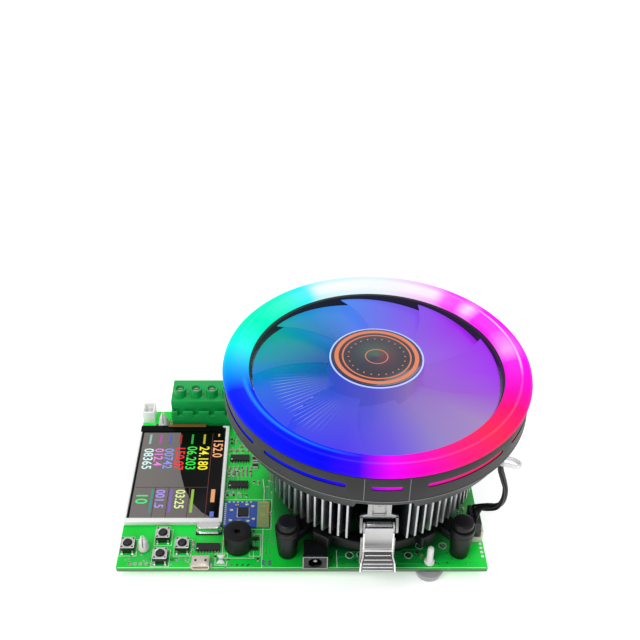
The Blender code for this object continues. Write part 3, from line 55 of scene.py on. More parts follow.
def board_space():
    low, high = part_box("main_board")
    return Matrix.Translation(((low.x + high.x) / 2, low.y, high.z)) @ Matrix.Scale(MM, 4)


BOARD = board_space()


def span(node):
    """The lowest and highest corner of a CAD node, in board millimetres."""
    low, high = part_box(node)
    back = BOARD.inverted()
    return back @ low, back @ high


def middle(node):
    low, high = span(node)
    return (low + high) / 2


def stand(node):
    """A node's middle in plan, half its width, and its lowest and highest z."""
    low, high = span(node)
    return (low.x + high.x) / 2, (low.y + high.y) / 2, (high.x - low.x) / 2, low.z, high.z


HUB = middle("light_ring")
HUB_FOOT = (HUB.x, HUB.y, 0)
RING_R, RING_LOW, RING_TOP = stand("light_ring")[2:]
SHROUD_R, MOTOR_LOW, SHROUD_TOP = stand("fan_frame")[2:]
UNDER = span("main_board")[0].z


# Materials


def linear(code):
    """An sRGB hex colour as linear values."""
    parts = [int(code[i : i + 2], 16) / 255 for i in (1, 3, 5)]
    return (*[c / 12.92 if c <= 0.04045 else ((c + 0.055) / 1.055) ** 2.4 for c in parts], 1.0)


def add_node(material, kind, inputs=None, stops=(), output=0, **settings):
    """Adds a node with its settings and colour stops, sets or links its inputs, and gives an output."""
    made = material.node_tree.nodes.new(f"ShaderNode{kind}")
    for key, value in settings.items():
        setattr(made, key, value)
    for socket, value in (inputs or {}).items():
        if isinstance(value, bpy.types.NodeSocket):
            material.node_tree.links.new(value, made.inputs[socket])
        else:
            made.inputs[socket].default_value = value
    if stops:
        elements = made.color_ramp.elements
        for element, stop in zip(elements, (stops[0], stops[-1])):
            element.position, element.color = stop
        for position, colour in stops[1:-1]:
            elements.new(position).color = colour
    return made.outputs[output]


def shader_inputs(material):
    return material.node_tree.nodes["Principled BSDF"].inputs


def feed(material, socket, output):
    material.node_tree.links.new(output, shader_inputs(material)[socket])


def surface(name, colour, roughness, metallic=0.0, **sockets):
    """A material with its plain values on the shader's own sockets."""
    material = bpy.data.materials.new(name)
    material.use_nodes = True
    sockets = {"Base Color": linear(colour), "Roughness": roughness, "Metallic": metallic} | sockets
    for key, value in sockets.items():
        shader_inputs(material)[key.replace("_", " ")].default_value = value
    return material


def places(material, stretch=(1, 1, 1)):
    """Object coordinates in millimetres, squeezed along each axis by stretch."""
    where = add_node(material, "TexCoord", output="Object")
    return add_node(material, "Mapping", {"Vector": where, "Scale": [s / MM for s in stretch]})


def grain(material, size, depth, tint=None, share=0.5, rough=None, stretch=(1, 1, 1)):
    """Fine relief of this size and depth in millimetres, with a mottled tint and uneven gloss."""
    add = partial(add_node, material)
    noise = add("TexNoise", {"Vector": places(material, stretch), "Scale": 1 / size, "Detail": 4.0})
    if depth:
        feed(material, "Normal", add("Bump", {"Height": noise, "Strength": 0.6, "Distance": depth * MM}))
    if tint:
        base = shader_inputs(material)["Base Color"].default_value[:]
        stops = ((0.5 - share / 2, base), (0.5 + share / 2, linear(tint)))
        feed(material, "Base Color", add("ValToRGB", {"Fac": noise}, stops))
    if rough:
        gloss = {"Value": noise, "From Min": 0.3, "From Max": 0.7, "To Min": rough[0], "To Max": rough[1]}
        feed(material, "Roughness", add("MapRange", gloss))
    return material


def levels(material, value, stops):
    """Colours or grey levels that follow an angle or a distance: stops are (angle or distance, level)."""
    first, last = stops[0][0], stops[-1][0]
    share = add_node(material, "MapRange", {"Value": value, "From Min": first, "From Max": last})
    tones = []
    for at, level in stops:
        tone = linear(level) if isinstance(level, str) else (level, level, level, 1)
        tones.append(((at - first) / (last - first), tone))
    return add_node(material, "ValToRGB", {"Fac": share}, tones)


def darkened(material, dark, level):
    """Lets the base colour fall off to a darker one as the level falls from 1 to 0."""
    base = shader_inputs(material)["Base Color"]
    bright = base.links[0].from_socket if base.is_linked else base.default_value[:]
    mix = {"Factor": level, 6: linear(dark), 7: bright}
    feed(material, "Base Color", add_node(material, "Mix", mix, output=2, data_type="RGBA"))


def height(material):
    """Millimetres above the board, in the piece's own frame."""
    add = partial(add_node, material)
    up = add("SeparateXYZ", {"Vector": add("TexCoord", output="Object")}, output="Z")
    board_top = (BOARD @ Vector((0, 0, 0))).z
    return add("Math", {0: up, 1: 1 / MM, 2: -board_top / MM}, operation="MULTIPLY_ADD")


def round_hub(material):
    """The angle round the fan's shaft in degrees, and the distance from it in millimetres."""
    add = partial(add_node, material)
    centre = BOARD @ HUB
    place = {0: add("TexCoord", output="Object"), 1: (centre.x, centre.y, 0)}
    place = add("VectorMath", place, operation="SUBTRACT")
    x, y = [add("SeparateXYZ", {"Vector": place}, output=axis) for axis in "XY"]
    turn = add("Math", {0: y, 1: x}, operation="ARCTAN2")
    degrees = add("Math", {0: turn, 1: 180 / math.pi}, operation="MULTIPLY")
    angle = add("Math", {0: degrees, 1: 360.0, 2: 0.0}, operation="WRAP")
    away = add("VectorMath", {0: add("CombineXYZ", {"X": x, "Y": y})}, output="Value", operation="LENGTH")
    return angle, add("Math", {0: away, 1: 1 / MM}, operation="MULTIPLY")


def brushed_aluminium():
    """Extruded aluminium, bare: fine draw lines up the fins, with painted light and shade: bright at the fin
    tips, darker towards their roots.
    """
    material = surface("extruded aluminium", "#D6D8DA", 0.34, 1.0)
    grain(material, 0.5, 0.02, "#BFC1C4", 0.5, (0.26, 0.42), (1, 1, 0.08))
    # Between the fins less and less light gets in: painted shade darkens the colour towards the fins' roots.
    depth = ((24, 0.0), (38, 0.1), (43.5, 0.55), (45.2, 1.0))
    darkened(material, "#18191B", levels(material, round_hub(material)[1], depth))
    return material


def pressed_steel():
    """The lever, with painted light and shade by height: light on its flat plate, a painted highlight along the
    fold, painted shade down the ribbed tab below it.
    """
    material = surface("nickel-plated spring steel, pressed", "#CFCFCD", 0.34, 0.8)
    grain(material, 0.35, 0.01, "#B6B6B4", 0.5, (0.26, 0.44), (1, 0.12, 1))
    # Painted light and shade by height above the board: dark down the tab, a painted highlight at the fold,
    # lighter up the plate.
    tab = ((9.0, 0.35), (14.0, 0.08), (18.0, 0.0), (18.4, 0.9))
    plate = ((19.4, 0.9), (19.8, 0.3), (22.0, 0.42), (25.0, 0.85), (31.0, 1.0))
    darkened(material, "#4C4C4C", levels(material, height(material), tab + plate))
    return material


def natural_nylon():
    """Natural nylon: white in the light, grey and glassy in the shade below the board."""
    milky = {"Subsurface_Weight": 0.3, "Subsurface_Scale": 0.002}
    material = surface("nylon, natural, moulded", "#E0E2DF", 0.35, **milky)
    under_board = ((-6.2, 0.0), (-2.0, 0.15), (0.0, 1.0))
    darkened(material, "#8A8C8C", levels(material, height(material), under_board))
    return material


def laminate():
    """Glass-epoxy board: glossy green solder mask on both faces, dull grey-green cut edges."""
    material = surface("glass-epoxy board under solder mask", "#0CB63A", 0.32, Specular_IOR_Level=0.35)
    add = partial(add_node, material)
    cloud = add("TexNoise", {"Vector": places(material), "Scale": 0.035, "Detail": 2.0})
    mask = add("ValToRGB", {"Fac": cloud}, ((0.35, linear("#06C434")), (0.65, linear("#0EEC48"))))
    feed(material, "Base Color", mask)
    # Under the cooler little light reaches the mask.
    open_air = ((36, 0.0), (42, 0.25), (50, 0.9), (54, 1.0))
    darkened(material, "#044A26", levels(material, round_hub(material)[1], open_air))
    up = add("SeparateXYZ", {"Vector": add("NewGeometry", output="Normal")}, output="Z")
    level = add("Math", {0: up}, operation="ABSOLUTE")
    darkened(material, "#5C6E58", add("Math", {0: level, 1: 0.6}, operation="GREATER_THAN"))
    return material


# Colours of the lit fan by angle, anticlockwise from the right
RING_COLOURS = (
    (0, "#FF00F8"), (34, "#FF06FF"), (52, "#FF48FF"), (66, "#F7B4FF"), (84, "#E2F4FF"), (108, "#C4F6FF"),
    (121, "#1CF8FF"), (134, "#00FFD2"), (152, "#00FFC8"), (170, "#00FFF4"), (184, "#00B4FF"), (198, "#0624FF"),
    (248, "#0000FF"), (260, "#3C00FF"), (271, "#F400FF"), (282, "#FF00C8"), (296, "#FF1C88"), (314, "#FF2C5C"),
    (330, "#FF1478"), (344, "#FF00D0"), (360, "#FF00F8"),
)
TIP_COLOURS = (
    (0, "#A80CFF"), (40, "#A61EFA"), (74, "#7C62FA"), (100, "#4E8CFF"), (126, "#169ADA"), (146, "#0AB4A4"),
    (170, "#0EA6B8"), (190, "#0A74F2"), (216, "#3450FF"), (250, "#4A34FF"), (274, "#7052F4"), (296, "#9A88D4"),
    (322, "#AA8CCC"), (342, "#A448E6"), (360, "#A80CFF"),
)
ROOT_COLOURS = (
    (0, "#9A5AE0"), (60, "#8468F2"), (100, "#5A7CF2"), (140, "#0A66B6"), (176, "#0860B0"), (214, "#4258E4"),
    (262, "#6260E4"), (306, "#9C80D2"), (338, "#9A62DA"), (360, "#9A5AE0"),
)
# How white the ring's inner slope is, by angle, where the lamps stand closest
WHITE_LEVELS = (
    (0, 0.03), (8, 0.4), (22, 0.06), (34, 0.05), (40, 0.75), (46, 0.05), (53, 0.12), (58, 0.85), (70, 0.9),
    (86, 0.75), (100, 1.0), (114, 0.9), (119, 0.1), (150, 0.0), (176, 0.04), (190, 0.01), (226, 0.0),
    (300, 0.0), (340, 0.0), (360, 0.03),
)
STREAK_LEVELS = (
    (0, 0.8), (28, 0.9), (40, 0.3), (52, 0.3), (70, 0.05), (180, 0.03), (196, 0.0), (350, 0.08), (360, 0.8),
)
EDGE_LEVELS = ((0, 0.0), (182, 0.0), (192, 0.85), (226, 0.75), (252, 0.3), (262, 0.0), (360, 0.0))
FIN_COUNT = 110.0
RAY_LEVELS = ((0, 0), (178, 0), (190, 0.7), (222, 0.5), (240, 0), (360, 0))


def lit_ring(name, strength):
    """Milky polycarbonate over coloured lamps: full colour outside, paler on the slope where they stand."""
    material = surface(name, "#040406", 0.4, Specular_IOR_Level=0.02, Emission_Strength=strength)
    add = partial(add_node, material)
    by = partial(levels, material)
    angle, away = round_hub(material)
    slope = by(away, ((51.4, 0.35), (53.0, 0.9), (56.2, 1.0), (57.8, 0.45), (60.5, 0.12), (62.4, 0.0)))
    white = add("Math", {0: slope, 1: by(angle, WHITE_LEVELS)}, operation="MULTIPLY")
    # A thin streak runs round the crown, where the moulded step catches the light.
    streak = {0: by(away, ((57.0, 0.0), (57.7, 0.8), (58.4, 0.0))), 1: by(angle, STREAK_LEVELS)}
    streak = add("Math", streak, operation="MULTIPLY")
    white = add("Math", {0: white, 1: streak}, operation="MAXIMUM")
    # At the lower left a pale blue line follows the inner edge.
    edge = {0: by(away, ((52.6, 0.0), (53.9, 1.0), (55.4, 0.0))), 1: by(angle, EDGE_LEVELS)}
    edge = add("Math", edge, operation="MULTIPLY")
    colour = by(angle, RING_COLOURS)
    for level, tone in ((edge, "#1E9CFF"), (white, "#FFFFFF")):
        colour = add("Mix", {"Factor": level, 6: colour, 7: linear(tone)}, output=2, data_type="RGBA")
    feed(material, "Emission Color", colour)
    return material


def lit_blades(name, code, glow, alpha, inner=22.0, outer=49.0):
    """Frosted polycarbonate that carries the ring's light, in colours that turn with the angle."""
    material = surface(name, code, 0.34, Specular_IOR_Level=0.25, Alpha=alpha, Emission_Strength=glow)
    add = partial(add_node, material)
    by = partial(levels, material)
    angle, away = round_hub(material)
    outward = by(away, ((inner, 0.0), ((inner + outer) / 2, 0.55), (outer, 1.0)))
    ends = {"Factor": outward, 6: by(angle, ROOT_COLOURS), 7: by(angle, TIP_COLOURS)}
    lit = add("Mix", ends, output=2, data_type="RGBA")
    # Painted pale rays in the blades' glow stand in for the lit heatsink fins seen through the blades at the
    # left.
    ray = add("Math", {0: angle, 1: FIN_COUNT / 360}, operation="MULTIPLY")
    ray = add("Math", {0: ray, 1: 0.5}, operation="PINGPONG")
    ray = add("MapRange", {"Value": ray, "From Min": 0.12, "From Max": 0.02})
    ray = add("Math", {0: ray, 1: by(angle, RAY_LEVELS)}, operation="MULTIPLY")
    reach = by(away, ((inner, 0.0), (inner + 6, 0.5), (outer - 10, 0.8), (outer - 5, 0.0)))
    ray = add("Math", {0: ray, 1: reach}, operation="MULTIPLY")
    lit = add("Mix", {"Factor": ray, 6: lit, 7: linear("#D8E4FF")}, output=2, data_type="RGBA")
    feed(material, "Emission Color", lit)
    return material


def plain_light(name, code, strength=1.0):
    """One colour of the display's lit picture."""
    return surface(name, "#000000", 0.25, Emission_Color=linear(code), Emission_Strength=strength)


def printed_foil():
    """Glossy printed foil: near black, with a faint sheen of green and red towards the middle."""
    material = surface("printed foil", "#14122A", 0.16, Coat_Weight=0.8)
    angle, away = round_hub(material)
    sheen = ((0, "#5A2434"), (118.8, "#2C5A46"), (223.2, "#1B1A3C"), (360, "#5A2434"))
    feed(material, "Base Color", levels(material, angle, sheen))
    darkened(material, "#14122A", levels(material, away, ((3.0, 0.9), (10.5, 0.0))))
    return material


LAMINATE = laminate()
ALUMINIUM = brushed_aluminium()
NICKEL = surface("nickel-plated spring steel, rolled", "#B2B2B0", 0.3, 1.0)
grain(NICKEL, 0.35, 0.01, "#989896", 0.6, (0.22, 0.4), (1, 0.12, 1))
LEVER_STEEL = pressed_steel()
TIN = grain(surface("tin plate, dipped", "#D8D8D2", 0.25, 1.0), 0.4, 0.01, "#BDBDB8", 0.6, (0.18, 0.35))
# A lit copy of the lever's steel: a painted highlight on the lever's rungs, rails and fold.
STEEL_HIGHLIGHT = surface("nickel-plated spring steel, lit as a painted highlight", "#F2F2F0", 0.22, 0.9)
ZINC = surface("zinc-plated steel, turned", "#BFC1BC", 0.32, 1.0)
GOLD = surface("gold-plated copper", "#D9B45A", 0.3, 1.0)
BRASS = surface("nickel-plated brass, stamped", "#C9C2A8", 0.3, 1.0)
COPPER = grain(surface("enamelled copper, wound", "#B5622F", 0.35, 0.8), 0.3, 0.08)
SILK = surface("white legend ink, printed", "#EAF4EA", 0.6)
EPOXY = grain(surface("moulded epoxy", "#111112", 0.5), 0.08, 0.01, "#181819", 0.6)
NYLON_BLACK = surface("glass-filled nylon, moulded", "#080809", 0.36, Specular_IOR_Level=0.3)
grain(NYLON_BLACK, 0.25, 0.02, "#0C0C0D", 0.6, (0.34, 0.52))
ABS_GREY = surface("ABS, moulded, spark finish", "#202022", 0.5, Specular_IOR_Level=0.35)
grain(ABS_GREY, 0.18, 0.015, "#1C1C1E", 0.7, (0.42, 0.58))
ABS_BLACK = grain(surface("ABS, moulded, satin", "#0E0E0F", 0.38), 0.2, 0.01, "#141415", 0.6, (0.3, 0.46))
PBT_WHITE = grain(surface("PBT, moulded, white", "#F0F1EE", 0.4), 0.3, 0.005, "#E4E6E2", 0.6)
PBT_IVORY = grain(surface("PBT, moulded, ivory", "#E9E4D6", 0.45), 0.3, 0.005, "#DCD6C6", 0.6)
NYLON_CLEAR = natural_nylon()
POLYAMIDE = surface("polyamide, moulded, green", "#12A850", 0.36, Specular_IOR_Level=0.3)
grain(POLYAMIDE, 0.3, 0.008, "#0E9846", 0.6, (0.28, 0.42))
MODULE_BLUE = grain(surface("blue solder mask", "#12419C", 0.25, Coat_Weight=0.4), 2.0, 0.0, "#1A50B4", 0.5)
BARE_BOARD = surface("bare glass-epoxy, printed", "#7DA06A", 0.4)
GLASS = surface("display glass, polished", "#030304", 0.25, Specular_IOR_Level=0.12)
FILM = surface("polyimide film over copper", "#7A4A1C", 0.3, Coat_Weight=0.3)
CERAMIC = surface("fired ceramic", "#A88C66", 0.5)
WIRE = surface("soft PVC, extruded", "#161616", 0.35)
TIE = surface("nylon, clear, moulded", "#EDEFF0", 0.2, Alpha=0.55)
FOIL = printed_foil()
COPPER_INK = surface("metallic copper ink, printed", "#DA7A55", 0.38, 0.25)
RING_LIGHT = lit_ring("milky polycarbonate over lamps", 1.0)
RING_SKIRT = lit_ring("milky polycarbonate, skirt", 0.9)
BLADE = lit_blades("polycarbonate, frosted", "#08080E", 0.86, 0.95)
HUB_SHELL = lit_blades("polycarbonate, frosted, hub", "#0C0C14", 0.72, 1.0)
HUB_GLOW = {"Emission_Color": linear("#8FA8FF"), "Emission_Strength": 0.5}
HUB_EDGE = surface("polycarbonate, frosted, lit edge", "#9FB4E8", 0.3, **HUB_GLOW)
# Pale grey ABS: a painted highlight along the shroud's seams and round its step.
SEAM_HIGHLIGHT = grain(surface("ABS, painted highlight on the seams", "#707070", 0.5), 0.2, 0.005)
LED_MASK = surface("white solder mask", "#ECECEA", 0.4)
TRACK_MASK = surface("solder mask over copper", "#23B850", 0.26, Coat_Weight=0.4)
# A painted reflection: a grey wash of light on the display glass over part of the picture.
SHEEN = surface("painted reflection on the glass", "#77726F", 0.6, Specular_IOR_Level=0.1, Alpha=0.94)
BUTTON_PLATE = surface("nickel silver, stamped", "#DCDCDA", 0.3, 0.9)
grain(BUTTON_PLATE, 0.5, 0.01, "#C8C8C6", 0.6, (0.22, 0.38))
BUZZER_BLACK = surface("PBT, moulded, black", "#0C0C0D", 0.46, Specular_IOR_Level=0.3)
grain(BUZZER_BLACK, 0.2, 0.01, "#111112", 0.6, (0.4, 0.55))
CRYSTAL_CAN = surface("nickel-plated can, drawn", "#E8E8E6", 0.16, 1.0)
USB_TIN = surface("tin-plated shell, warm", "#E8DFD2", 0.3, 0.75)
grain(USB_TIN, 0.5, 0.01, "#D8CDBE", 0.6, (0.25, 0.4))


# Outlines: lists of points in one plane


def arc(centre, radius, start, end, steps):
    points = []
    for i in range(steps + 1):
        angle = math.radians(start + (end - start) * i / steps)
        points.append((centre[0] + radius * math.cos(angle), centre[1] + radius * math.sin(angle)))
    return points


def eased(points, radius, steps=3, closed=True):
    """The outline through these points, with its corners turned on arcs of this radius."""
    turned_points = []
    for i, corner in enumerate(points):
        if not closed and i in (0, len(points) - 1):
            turned_points.append(tuple(corner))
            continue
        here = Vector(corner)
        back = Vector(points[i - 1]) - here
        ahead = Vector(points[(i + 1) % len(points)]) - here
        half = back.angle(ahead) / 2
        reach = min(radius / math.tan(half), back.length * 0.45, ahead.length * 0.45)
        size = reach * math.tan(half)
        if half > math.radians(84):
            turned_points.append(tuple(corner))
            continue
        centre = here + (back.normalized() + ahead.normalized()).normalized() * size / math.sin(half)
        first = here + back.normalized() * reach - centre
        last = here + ahead.normalized() * reach - centre
        for k in range(steps + 1):
            turned_points.append(tuple(centre + first.lerp(last, k / steps).normalized() * size))
    return turned_points


def rectangle(x0, x1, y0, y1):
    return [(x0, y0), (x1, y0), (x1, y1), (x0, y1)]


# Shapes, added to a bmesh in board millimetres


def skin(bm, rings, looped=False):
    """Faces from each ring of points to the next, then over both ends or back to the first ring."""
    rings = [[bm.verts.new(point) for point in ring] for ring in rings]
    if looped:
        rings.append(rings[0])
    for ring, after in zip(rings, rings[1:]):
        for k in range(len(ring)):
            n = (k + 1) % len(ring)
            bm.faces.new((ring[k], ring[n], after[n], after[k]))
    if not looped:
        bm.faces.new(rings[0][::-1])
        bm.faces.new(rings[-1])


def prism(bm, outline, low, high, axis="Z"):
    """Extrudes an outline along an axis. Along Y its points are (x, z)."""
    rings = []
    for level in (low, high):
        ring = [(a, level, b) if axis == "Y" else (a, b, level) for a, b in outline]
        rings.append([bm.verts.new(point) for point in ring])
    base, top = rings
    bm.faces.new(base)
    bm.faces.new(top[::-1])
    for i in range(len(outline)):
        n = (i + 1) % len(outline)
        bm.faces.new((base[n], base[i], top[i], top[n]))


def block(bm, x0, x1, y0, y1, z0, z1):
    prism(bm, rectangle(x0, x1, y0, y1), z0, z1)


def slab(bm, x, y, half_x, half_y, low, high):
    block(bm, x - half_x, x + half_x, y - half_y, y + half_y, low, high)


def lathe(bm, profile, centre, steps, closed=False):
    """Turns a profile of (radius, height) about the vertical through centre."""
    rings = []
    for radius, z in profile:
        ring = []
        for i in range(steps if radius > 1e-6 else 1):
            angle = math.tau * i / steps
            point = Vector((radius * math.cos(angle), radius * math.sin(angle), z))
            ring.append(bm.verts.new(Vector(centre) + point))
        rings.append(ring)
    pairs = list(zip(rings, rings[1:]))
    if closed:
        pairs.append((rings[-1], rings[0]))
    for a, b in pairs:
        for i in range(steps):
            corners = []
            for ring, k in ((a, i), (a, i + 1), (b, i + 1), (b, i)):
                vert = ring[k % len(ring)]
                if vert not in corners:
                    corners.append(vert)
            if len(corners) > 2:
                bm.faces.new(corners)


def ribbon(bm, stations, thickness, centre_x):
    """A bent strip of sheet metal. Each station is (y, z, half width) on its middle surface."""
    rings = []
    for i, (y, z, half) in enumerate(stations):
        before = stations[max(i - 1, 0)]
        after = stations[min(i + 1, len(stations) - 1)]
        into = Vector((y - before[0], z - before[1]))
        out = Vector((after[0] - y, after[1] - z))
        into = into.normalized() if into.length else out.normalized()
        out = out.normalized() if out.length else into
        along = (into + out).normalized()
        side = Vector((-along.y, along.x)) * thickness / 2 / max(along.dot(into), 0.5)
        corners = ((-half, 1), (half, 1), (half, -1), (-half, -1))
        rings.append([(centre_x + across, y + way * side.x, z + way * side.y) for across, way in corners])
    skin(bm, rings)


def tube(bm, points, radius, sides=10):
    """A round bar along a list of points."""
    across = None
    rings = []
    for i, point in enumerate(points):
        along = (points[min(i + 1, len(points) - 1)] - points[max(i - 1, 0)]).normalized()
        across = across or along.orthogonal().normalized()
        across = (across - along * across.dot(along)).normalized()
        other = along.cross(across)
        circle = arc((0, 0), radius, 0, 360 - 360 / sides, sides - 1)
        rings.append([point + a * across + b * other for a, b in circle])
    skin(bm, rings)


def painted(bm, index, shape, *args, **kwargs):
    """Adds a shape whose faces take this material slot."""
    first = len(bm.faces)
    shape(bm, *args, **kwargs)
    bm.faces.ensure_lookup_table()
    for face in bm.faces[first:]:
        face.material_index = index


def moved(bm, place, shape, *args, **kwargs):
    """Adds a shape that this matrix has put in its place."""
    first = len(bm.verts)
    shape(bm, *args, **kwargs)
    bm.verts.ensure_lookup_table()
    bmesh.ops.transform(bm, matrix=place, verts=bm.verts[first:])


def turned_at(place, degrees, axis="Z"):
    return Matrix.Translation(place) @ Matrix.Rotation(math.radians(degrees), 4, axis)


# Pieces


def new_object(name, build):
    bm = bmesh.new()
    build(bm)
    bmesh.ops.recalc_face_normals(bm, faces=bm.faces)
    bm.transform(BOARD)
    return mesh_object(name, bm)


def mesh_object(name, bm):
    mesh = bpy.data.meshes.new(name)
    bm.to_mesh(mesh)
    bm.free()
    obj = bpy.data.objects.new(name, mesh)
    bpy.context.scene.collection.objects.link(obj)
    return obj


def baked(obj):
    """Replaces the object's mesh with what its modifiers make of it."""
    bpy.context.view_layer.update()
    graph = bpy.context.evaluated_depsgraph_get()
    mesh = bpy.data.meshes.new_from_object(obj.evaluated_get(graph))
    obj.modifiers.clear()
    old = obj.data
    obj.data = mesh
    if not old.users:
        bpy.data.meshes.remove(old)


def dress(obj, finishes, body, stands_for=(), bevel=0.0, angle=35, segments=2):
    """Smooth shading, softened edges and materials for a finished shape, which then rides on its body."""
    for material in finishes:
        if material.name not in obj.data.materials:
            obj.data.materials.append(material)
    if bevel:
        modifier = obj.modifiers.new("softened edges", "BEVEL")
        modifier.width = bevel * MM
        modifier.segments = segments
        modifier.limit_method = "ANGLE"
        modifier.angle_limit = math.radians(angle)
        modifier.use_clamp_overlap = True
        baked(obj)
    obj.data.shade_smooth()
    obj.data.set_sharp_from_angle(angle=math.radians(angle))
    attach(obj, body)
    if stands_for:
        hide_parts(*stands_for)


def make(name, build, finishes, body="board", cuts=(), **look):
    """A piece from the shape that build adds, less the shapes of cuts."""
    obj = new_object(name, build)
    helpers = []
    for cut in cuts:
        helper = new_object(f"{name}_helper", cut)
        modifier = obj.modifiers.new("shape", "BOOLEAN")
        modifier.operation = "DIFFERENCE"
        modifier.object = helper
        helpers.append(helper)
    if helpers:
        baked(obj)
        for helper in helpers:
            bpy.data.objects.remove(helper)
    dress(obj, finishes, body, **look)


def make_turned(name, profile, centre, steps, finishes, body="board", closed=False, **look):
    make(name, lambda bm: lathe(bm, profile, centre, steps, closed), finishes, body, **look)


def refined(node, finish, body="board", bevel=0.15, segments=2):
    """A CAD node's own shape with its facets joined into faces and its edges softened."""
    bm = bmesh.new()
    bm.from_mesh(NODES[node].data)
    bmesh.ops.remove_doubles(bm, verts=bm.verts, dist=0.002 * MM)
    bmesh.ops.dissolve_limit(bm, angle_limit=math.radians(1.5), verts=bm.verts, edges=bm.edges)
    for face in bm.faces:
        face.material_index = 0
    dress(mesh_object(f"{node}_skin", bm), [finish], body, (node,), bevel, segments=segments)


# Circuit board

MASK_TOP = 0.03  # how far printed copper and ink stand off the mask
TRACK_TOP = 0.02
INK = 0.25
TRACE = 0.3
BUTTONS = ("left", "up", "down", "right")

SILK_LINES = (
    ((-76.2, 0.7), (76.3, 0.7)),
    ((-16.6, 0.9), (-16.6, 44.0), (-17.4, 50.5)),
    ((14.6, 0.9), (14.6, 9.8)),
)
SILK_BOXES = ((-35.2, -13.2, 21.0, 38.0), (-36.1, -31.2, 2.0, 8.2), (-22.0, -17.4, 6.6, 18.4))
TEST_PADS = ((20.0, 7.1), (24.7, 7.4), (44.7, 7.1), (49.9, 12.1), (59.7, 12.1), (-40.0, 44.0), (-14.2, 30.0))
TRACK_BUNDLES = (  # (x from, x to, y from, y to, tracks, pitch, the way they run)
    (-74, -46, 2.2, 21.5, 11, 0.62, "x"),
    (-34, -17.5, 38.5, 58.0, 12, 0.55, "y"),
    (-34, -17.5, 65.5, 82.0, 12, 0.55, "y"),
    (-15.6, -11.0, 2.0, 58.0, 6, 0.7, "y"),
    (-44.0, -30.0, 0.9, 19.0, 9, 0.6, "x"),
    (12.0, 74.0, 1.6, 12.0, 9, 0.9, "x"),
    (-75.5, -20.0, 83.4, 94.5, 9, 0.8, "x"),
    (58.0, 74.5, 24.0, 92.0, 12, 0.9, "y"),
    (-10.0, 60.0, 84.0, 94.5, 8, 0.9, "x"),
)
PIN_PITCH = 2.54
PINNED = {  # where each part's pins come through the board, from its middle
    "buzzer": ((-3.8, 0), (3.8, 0)),
    "dc_jack": ((0, 3.5), (0, -2.0), (4.0, 0.5)),
    "quartz_crystal": ((-2.45, 0), (2.45, 0)),
    "fan_header": ((0, -3.81), (0, -1.27), (0, 1.27), (0, 3.81)),
    "sensor_socket": ((0, -1.27), (0, 1.27)),
    "terminal_header": ((-11.43, -3.2), (-3.81, -3.2), (3.81, -3.2), (11.43, -3.2)),
    "power_transistor": ((-5.45, -12.5), (0, -12.5), (5.45, -12.5)),
}
PINNED |= {f"button_case_{name}": [(x, y) for x in (-2.25, 2.25) for y in (-3.25, 3.25)] for name in BUTTONS}
SOLDER_CONE = [(0, 0), (1.1, 0), (0.8, -0.35), (0.42, -0.9), (0.36, -1.3), (0, -1.35)]


def strip(bm, points, width, low=0.0, high=MASK_TOP):
    """A printed line of this width along a list of (x, y) points."""
    left = []
    right = []
    for i, point in enumerate(points):
        here = Vector(point)
        into = (here - Vector(points[i - 1])).normalized() if i else None
        out = (Vector(points[i + 1]) - here).normalized() if i < len(points) - 1 else into
        into = into or out
        along = (into + out).normalized()
        side = Vector((-along.y, along.x)) * width / 2 / max(along.dot(into), 0.6)
        left.append(tuple(here + side))
        right.append(tuple(here - side))
    prism(bm, left + right[::-1], low, high)


def frame_lines(bm, x0, x1, y0, y1, width):
    strip(bm, [(x0, y0), (x1, y0), (x1, y1), (x0, y1), (x0, y0)], width)


def ring_pad(bm, x, y, outer, inner):
    lathe(bm, [(inner, 0.0), (outer, 0.0), (outer, MASK_TOP), (inner, MASK_TOP)], (x, y, 0), 20, closed=True)


def legend(bm):
    for points in SILK_LINES:
        strip(bm, points, INK)
    for box in SILK_BOXES:
        frame_lines(bm, *box, 0.2)
    for node in [f"button_case_{name}" for name in BUTTONS] + ["buzzer"]:
        low, high = span(node)
        frame_lines(bm, low.x - 0.7, high.x + 0.7, low.y - 0.5, high.y + 0.5, 0.18)
    for x, y in TEST_PADS[:5]:
        ring_pad(bm, x, y, 1.7, 1.5)
    for i in range(6):
        block(bm, 75.2, 76.3, 6.0 + 2.2 * i, 7.2 + 2.2 * i, 0, MASK_TOP)


def bare_pads(bm):
    for i in range(5):
        ring_pad(bm, -71.6 + 2.3 * i, 2.7, 0.8, 0.35)
    for x, y in TEST_PADS:
        ring_pad(bm, x, y, 1.15, 0.5)
    for i in range(4):
        strip(bm, [(-29.6 + 2.3 * i, 1.5), (-28.7 + 2.3 * i, 2.6)], 0.7)
    for x in (-16.0, -13.4):
        slab(bm, x, 3.2, 0.55, 1.3, 0, 0.12)


def trace_runs():
    """Copper tracks in bundles: each bundle runs straight, jogs over at 45 degrees and runs on."""
    draw = random.Random(41)
    runs = []
    for x0, x1, y0, y1, count, pitch, way in TRACK_BUNDLES:
        long_low, long_high, cross = (x0, x1, y0) if way == "x" else (y0, y1, x0)
        for i in range(count):
            at = cross + i * pitch + draw.uniform(0, 0.2)
            start = long_low + draw.uniform(0, 0.3) * (long_high - long_low)
            end = long_high - draw.uniform(0, 0.3) * (long_high - long_low)
            bend = start + draw.uniform(0.3, 0.7) * (end - start)
            jog = draw.choice((-1.2, 0.0, 1.2))
            run = [(start, at), (bend, at), (bend + abs(jog), at + jog), (end, at + jog)]
            if not jog:
                run = [run[0], run[-1]]
            if end - bend >= 2:
                runs.append([p if way == "x" else p[::-1] for p in run])
    return runs


